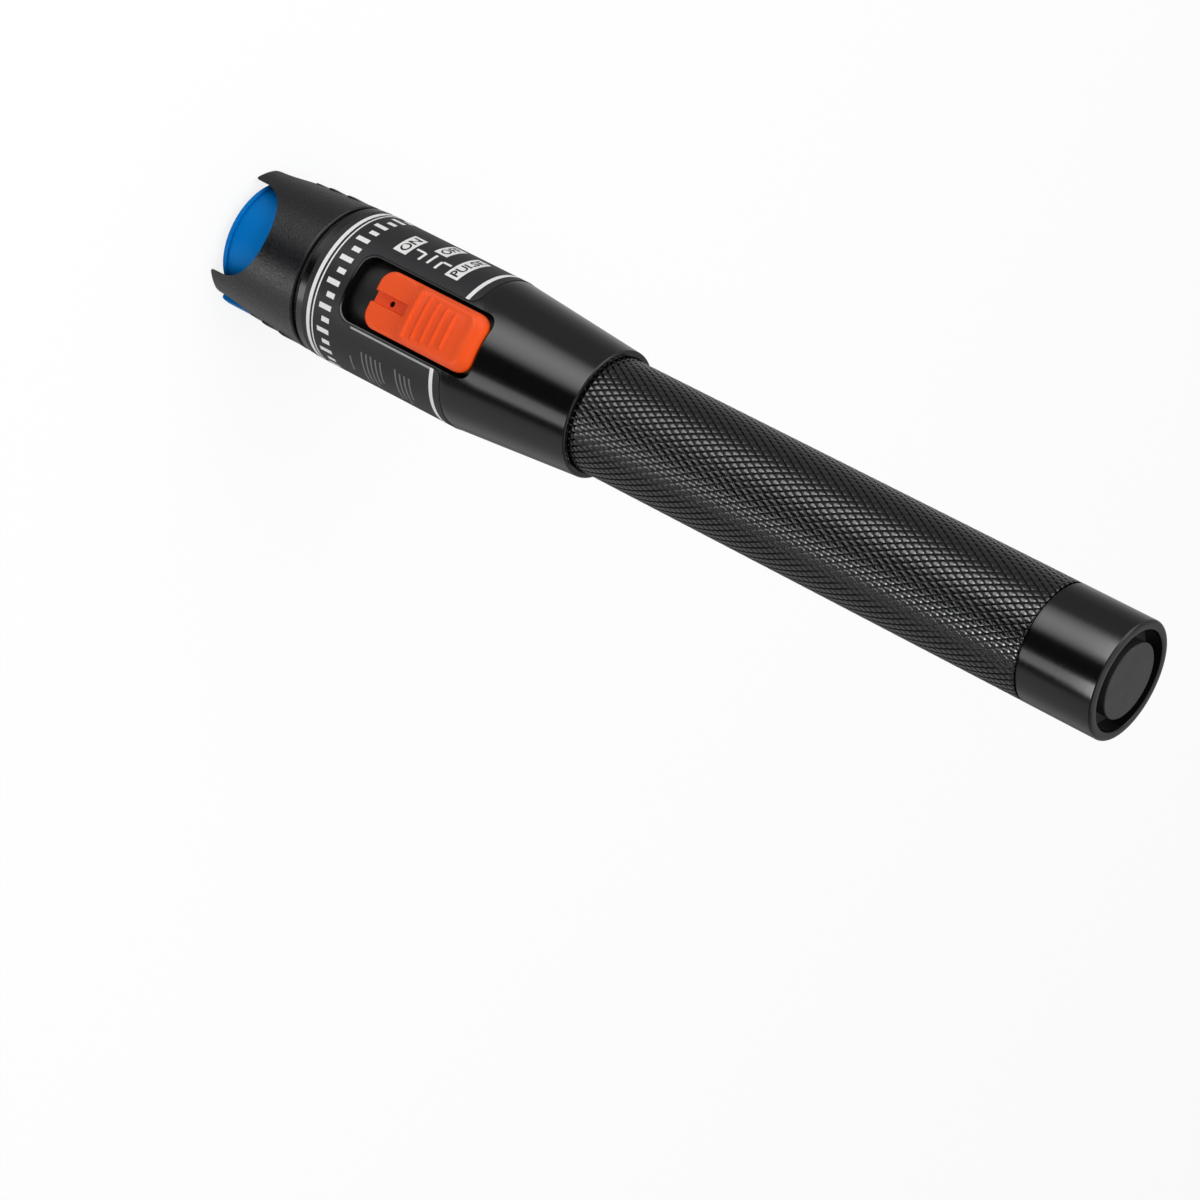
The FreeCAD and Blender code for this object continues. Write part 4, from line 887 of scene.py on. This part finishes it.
def knurl_tree():
    """A Geometry Nodes tree that covers a cylinder with domed diamond pads."""
    group = bpy.data.node_groups.new("diamond_knurl", "GeometryNodeTree")
    face = group.interface
    face.new_socket("Geometry", in_out="INPUT", socket_type="NodeSocketGeometry")
    face.new_socket("Geometry", in_out="OUTPUT", socket_type="NodeSocketGeometry")
    for name, kind in (
        ("Pads Round", "Int"), ("Rows", "Int"), ("Pitch", "Float"), ("Start", "Float"), ("End", "Float"),
        ("Radius", "Float"), ("Depth", "Float"), ("Pad Width", "Float"), ("Top Share", "Float"),
        ("Dome Share", "Float"),
    ):
        face.new_socket(name, in_out="INPUT", socket_type="NodeSocket" + kind)
    face.new_socket("Finish", in_out="INPUT", socket_type="NodeSocketMaterial")
    inputs = add_node(group, "NodeGroupInput").outputs
    index = add_node(group, "GeometryNodeInputIndex").outputs[0]
    pads = inputs["Pads Round"]
    row = maths(group, "FLOOR", maths(group, "DIVIDE", maths(group, "ADD", index, 0.5), pads))
    column = maths(group, "SUBTRACT", index, maths(group, "MULTIPLY", row, pads))
    shift = maths(group, "MULTIPLY", maths(group, "MODULO", row, 2.0), 0.5)
    steps_round = maths(group, "ADD", column, shift)
    angle = maths(group, "DIVIDE", maths(group, "MULTIPLY", steps_round, full_turn), pads)
    height = maths(group, "ADD", inputs["Start"],
                   maths(group, "MULTIPLY", row, maths(group, "MULTIPLY", inputs["Pitch"], 0.5)))
    base = maths(group, "SUBTRACT", inputs["Radius"], inputs["Depth"])
    spot = add_node(group, "ShaderNodeCombineXYZ")
    group.links.new(maths(group, "MULTIPLY", base, maths(group, "COSINE", angle)), spot.inputs["X"])
    group.links.new(maths(group, "MULTIPLY", base, maths(group, "SINE", angle)), spot.inputs["Y"])
    group.links.new(height, spot.inputs["Z"])
    points = add_node(group, "GeometryNodePoints")
    group.links.new(maths(group, "MULTIPLY", pads, inputs["Rows"]), points.inputs["Count"])
    group.links.new(spot.outputs[0], points.inputs["Position"])

    def tier(lower, upper, rise, foot=None):
        """Four sloping faces between two shares of a pad's outline, from a foot above its base."""
        cone = add_node(group, "GeometryNodeMeshCone", fill_type="NONE")
        cone.inputs["Vertices"].default_value = 4
        for socket, value in (("Radius Bottom", lower), ("Radius Top", upper), ("Depth", rise)):
            if isinstance(value, float):
                cone.inputs[socket].default_value = value
            else:
                group.links.new(value, cone.inputs[socket])
        lift = add_node(group, "ShaderNodeCombineXYZ")
        if foot is not None:
            group.links.new(foot, lift.inputs["Z"])
        move = add_node(group, "GeometryNodeTransform")
        group.links.new(cone.outputs["Mesh"], move.inputs["Geometry"])
        group.links.new(lift.outputs[0], move.inputs["Translation"])
        return move.outputs[0]

    dome = maths(group, "MULTIPLY", inputs["Depth"], inputs["Dome Share"])
    flank = maths(group, "SUBTRACT", inputs["Depth"], dome)
    edge_rise = maths(group, "MULTIPLY", dome, dome_shoulder)
    top_rise = maths(group, "SUBTRACT", dome, edge_rise)
    inner = maths(group, "MULTIPLY", inputs["Top Share"], dome_inner)
    cap = add_node(group, "GeometryNodeJoinGeometry")
    group.links.new(tier(inputs["Top Share"], inner, edge_rise, flank), cap.inputs[0])
    group.links.new(tier(inner, 0.0, top_rise, maths(group, "ADD", flank, edge_rise)), cap.inputs[0])
    weld = add_node(group, "GeometryNodeMergeByDistance")
    weld.inputs["Distance"].default_value = 0.001 * MM
    group.links.new(cap.outputs[0], weld.inputs["Geometry"])
    smooth = add_node(group, "GeometryNodeSetShadeSmooth")
    group.links.new(weld.outputs[0], smooth.inputs["Geometry"])
    smooth.inputs["Shade Smooth"].default_value = True
    plain = add_node(group, "GeometryNodeSetShadeSmooth")
    group.links.new(tier(1.0, inputs["Top Share"], flank), plain.inputs["Geometry"])
    plain.inputs["Shade Smooth"].default_value = False
    pad = add_node(group, "GeometryNodeJoinGeometry")
    group.links.new(smooth.outputs[0], pad.inputs[0])
    group.links.new(plain.outputs[0], pad.inputs[0])

    turn = add_node(group, "ShaderNodeCombineXYZ")
    turn.inputs["Y"].default_value = math.pi / 2
    group.links.new(angle, turn.inputs["Z"])
    size = add_node(group, "ShaderNodeCombineXYZ")
    group.links.new(maths(group, "MULTIPLY", inputs["Pitch"], 0.5), size.inputs["X"])
    group.links.new(maths(group, "MULTIPLY", inputs["Pad Width"], 0.5), size.inputs["Y"])
    size.inputs["Z"].default_value = 1.0
    place = add_node(group, "GeometryNodeInstanceOnPoints")
    group.links.new(points.outputs[0], place.inputs["Points"])
    group.links.new(pad.outputs[0], place.inputs["Instance"])
    group.links.new(turn.outputs[0], place.inputs["Rotation"])
    group.links.new(size.outputs[0], place.inputs["Scale"])
    realize = add_node(group, "GeometryNodeRealizeInstances")
    group.links.new(place.outputs[0], realize.inputs[0])
    here = add_node(group, "ShaderNodeSeparateXYZ")
    group.links.new(add_node(group, "GeometryNodeInputPosition").outputs[0], here.inputs[0])
    cut = add_node(group, "ShaderNodeCombineXYZ")
    group.links.new(here.outputs["X"], cut.inputs["X"])
    group.links.new(here.outputs["Y"], cut.inputs["Y"])
    group.links.new(maths(group, "MINIMUM", here.outputs["Z"], inputs["End"]), cut.inputs["Z"])
    trim = add_node(group, "GeometryNodeSetPosition")
    group.links.new(realize.outputs[0], trim.inputs["Geometry"])
    group.links.new(cut.outputs[0], trim.inputs["Position"])
    finish = add_node(group, "GeometryNodeSetMaterial")
    group.links.new(trim.outputs[0], finish.inputs["Geometry"])
    group.links.new(inputs["Finish"], finish.inputs["Material"])
    result = add_node(group, "NodeGroupOutput")
    group.links.new(finish.outputs[0], result.inputs[0])
    return group


knurl_anodised = new_material("knurl_anodised", (0.0028, 0.003, 0.0034), 0.1, specular=0.85)
vary(knurl_anodised, grain(knurl_anodised, 2200, 0.000003), "Roughness", 0.05, 0.12)

knurl_seed = add_object("knurl_seed", bpy.data.meshes.new("knurl_seed"))
pattern = knurl_seed.modifiers.new("diamond_knurl", "NODES")
pattern.node_group = knurl_tree()
knurl_sizes = {
    "Pads Round": pads_round, "Rows": pad_rows, "Pitch": pad_pitch, "Start": knurl_start,
    "End": knurl_end - groove_width, "Radius": tube_radius, "Depth": knurl_depth, "Pad Width": pad_width,
    "Top Share": 0.66, "Dome Share": 0.15, "Finish": knurl_anodised,
}
for item in pattern.node_group.interface.items_tree:
    if item.in_out == "INPUT" and item.name in knurl_sizes:
        pattern[item.identifier] = knurl_sizes[item.name]
bpy.context.view_layer.update()
knurl_mesh = bpy.data.meshes.new_from_object(
    knurl_seed.evaluated_get(bpy.context.evaluated_depsgraph_get()))
bpy.data.objects.remove(knurl_seed)
knurl_mesh.name = "tube_knurl"
knurl = add_object("tube_knurl", knurl_mesh)
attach(knurl, "tube")

ring_rubber = new_material("ring_rubber", (0.01, 0.01, 0.01), 0.5)
vary(ring_rubber, grain(ring_rubber, 4000, 0.000006), "Roughness", 0.42, 0.56)
dress("seal_ring", ring_rubber)


# ---- tail ----
# A satin grey aluminium plug pressed into the tube's open end, with a dark ring groove round
# its face. It is the rear battery contact, through a steel spring on its inner side.

satin = new_material("satin_aluminium", (0.016, 0.0165, 0.018), 0.36)
vary(satin, grain(satin, 400, 0.0000015), "Roughness", 0.36, 0.48)
dress("tail_plug", satin)
dress("tail_spring", steel)


# ---- cells ----
# Two plain alkaline cells in line, steel cans in black shrink film with a copper-coloured band at
# the button end. The tail's spring presses them on a nickel-plated contact in the carrier.

copper_start = 1.6 * MM
copper_end = 14.0 * MM

wrap = new_material("cell_wrap", (0.02, 0.02, 0.022), 0.3)
tree = wrap.node_tree
place = add_node(tree, "ShaderNodeTexCoord")
split = add_node(tree, "ShaderNodeSeparateXYZ")
tree.links.new(place.outputs["Object"], split.inputs[0])
cell_fronts = [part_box(name)[0].z for name in ("battery_front", "battery_rear")]
copper = [
    maths(tree, "MULTIPLY", maths(tree, "GREATER_THAN", split.outputs["Z"], front + copper_start),
          maths(tree, "LESS_THAN", split.outputs["Z"], front + copper_end)) for front in cell_fronts]
vary(wrap, maths(tree, "ADD", *copper), "Base Color", (0.02, 0.02, 0.022), (0.6, 0.27, 0.1))
for name in ("battery_front", "battery_rear"):
    dress(name, wrap)
dress("front_contact", nickel)
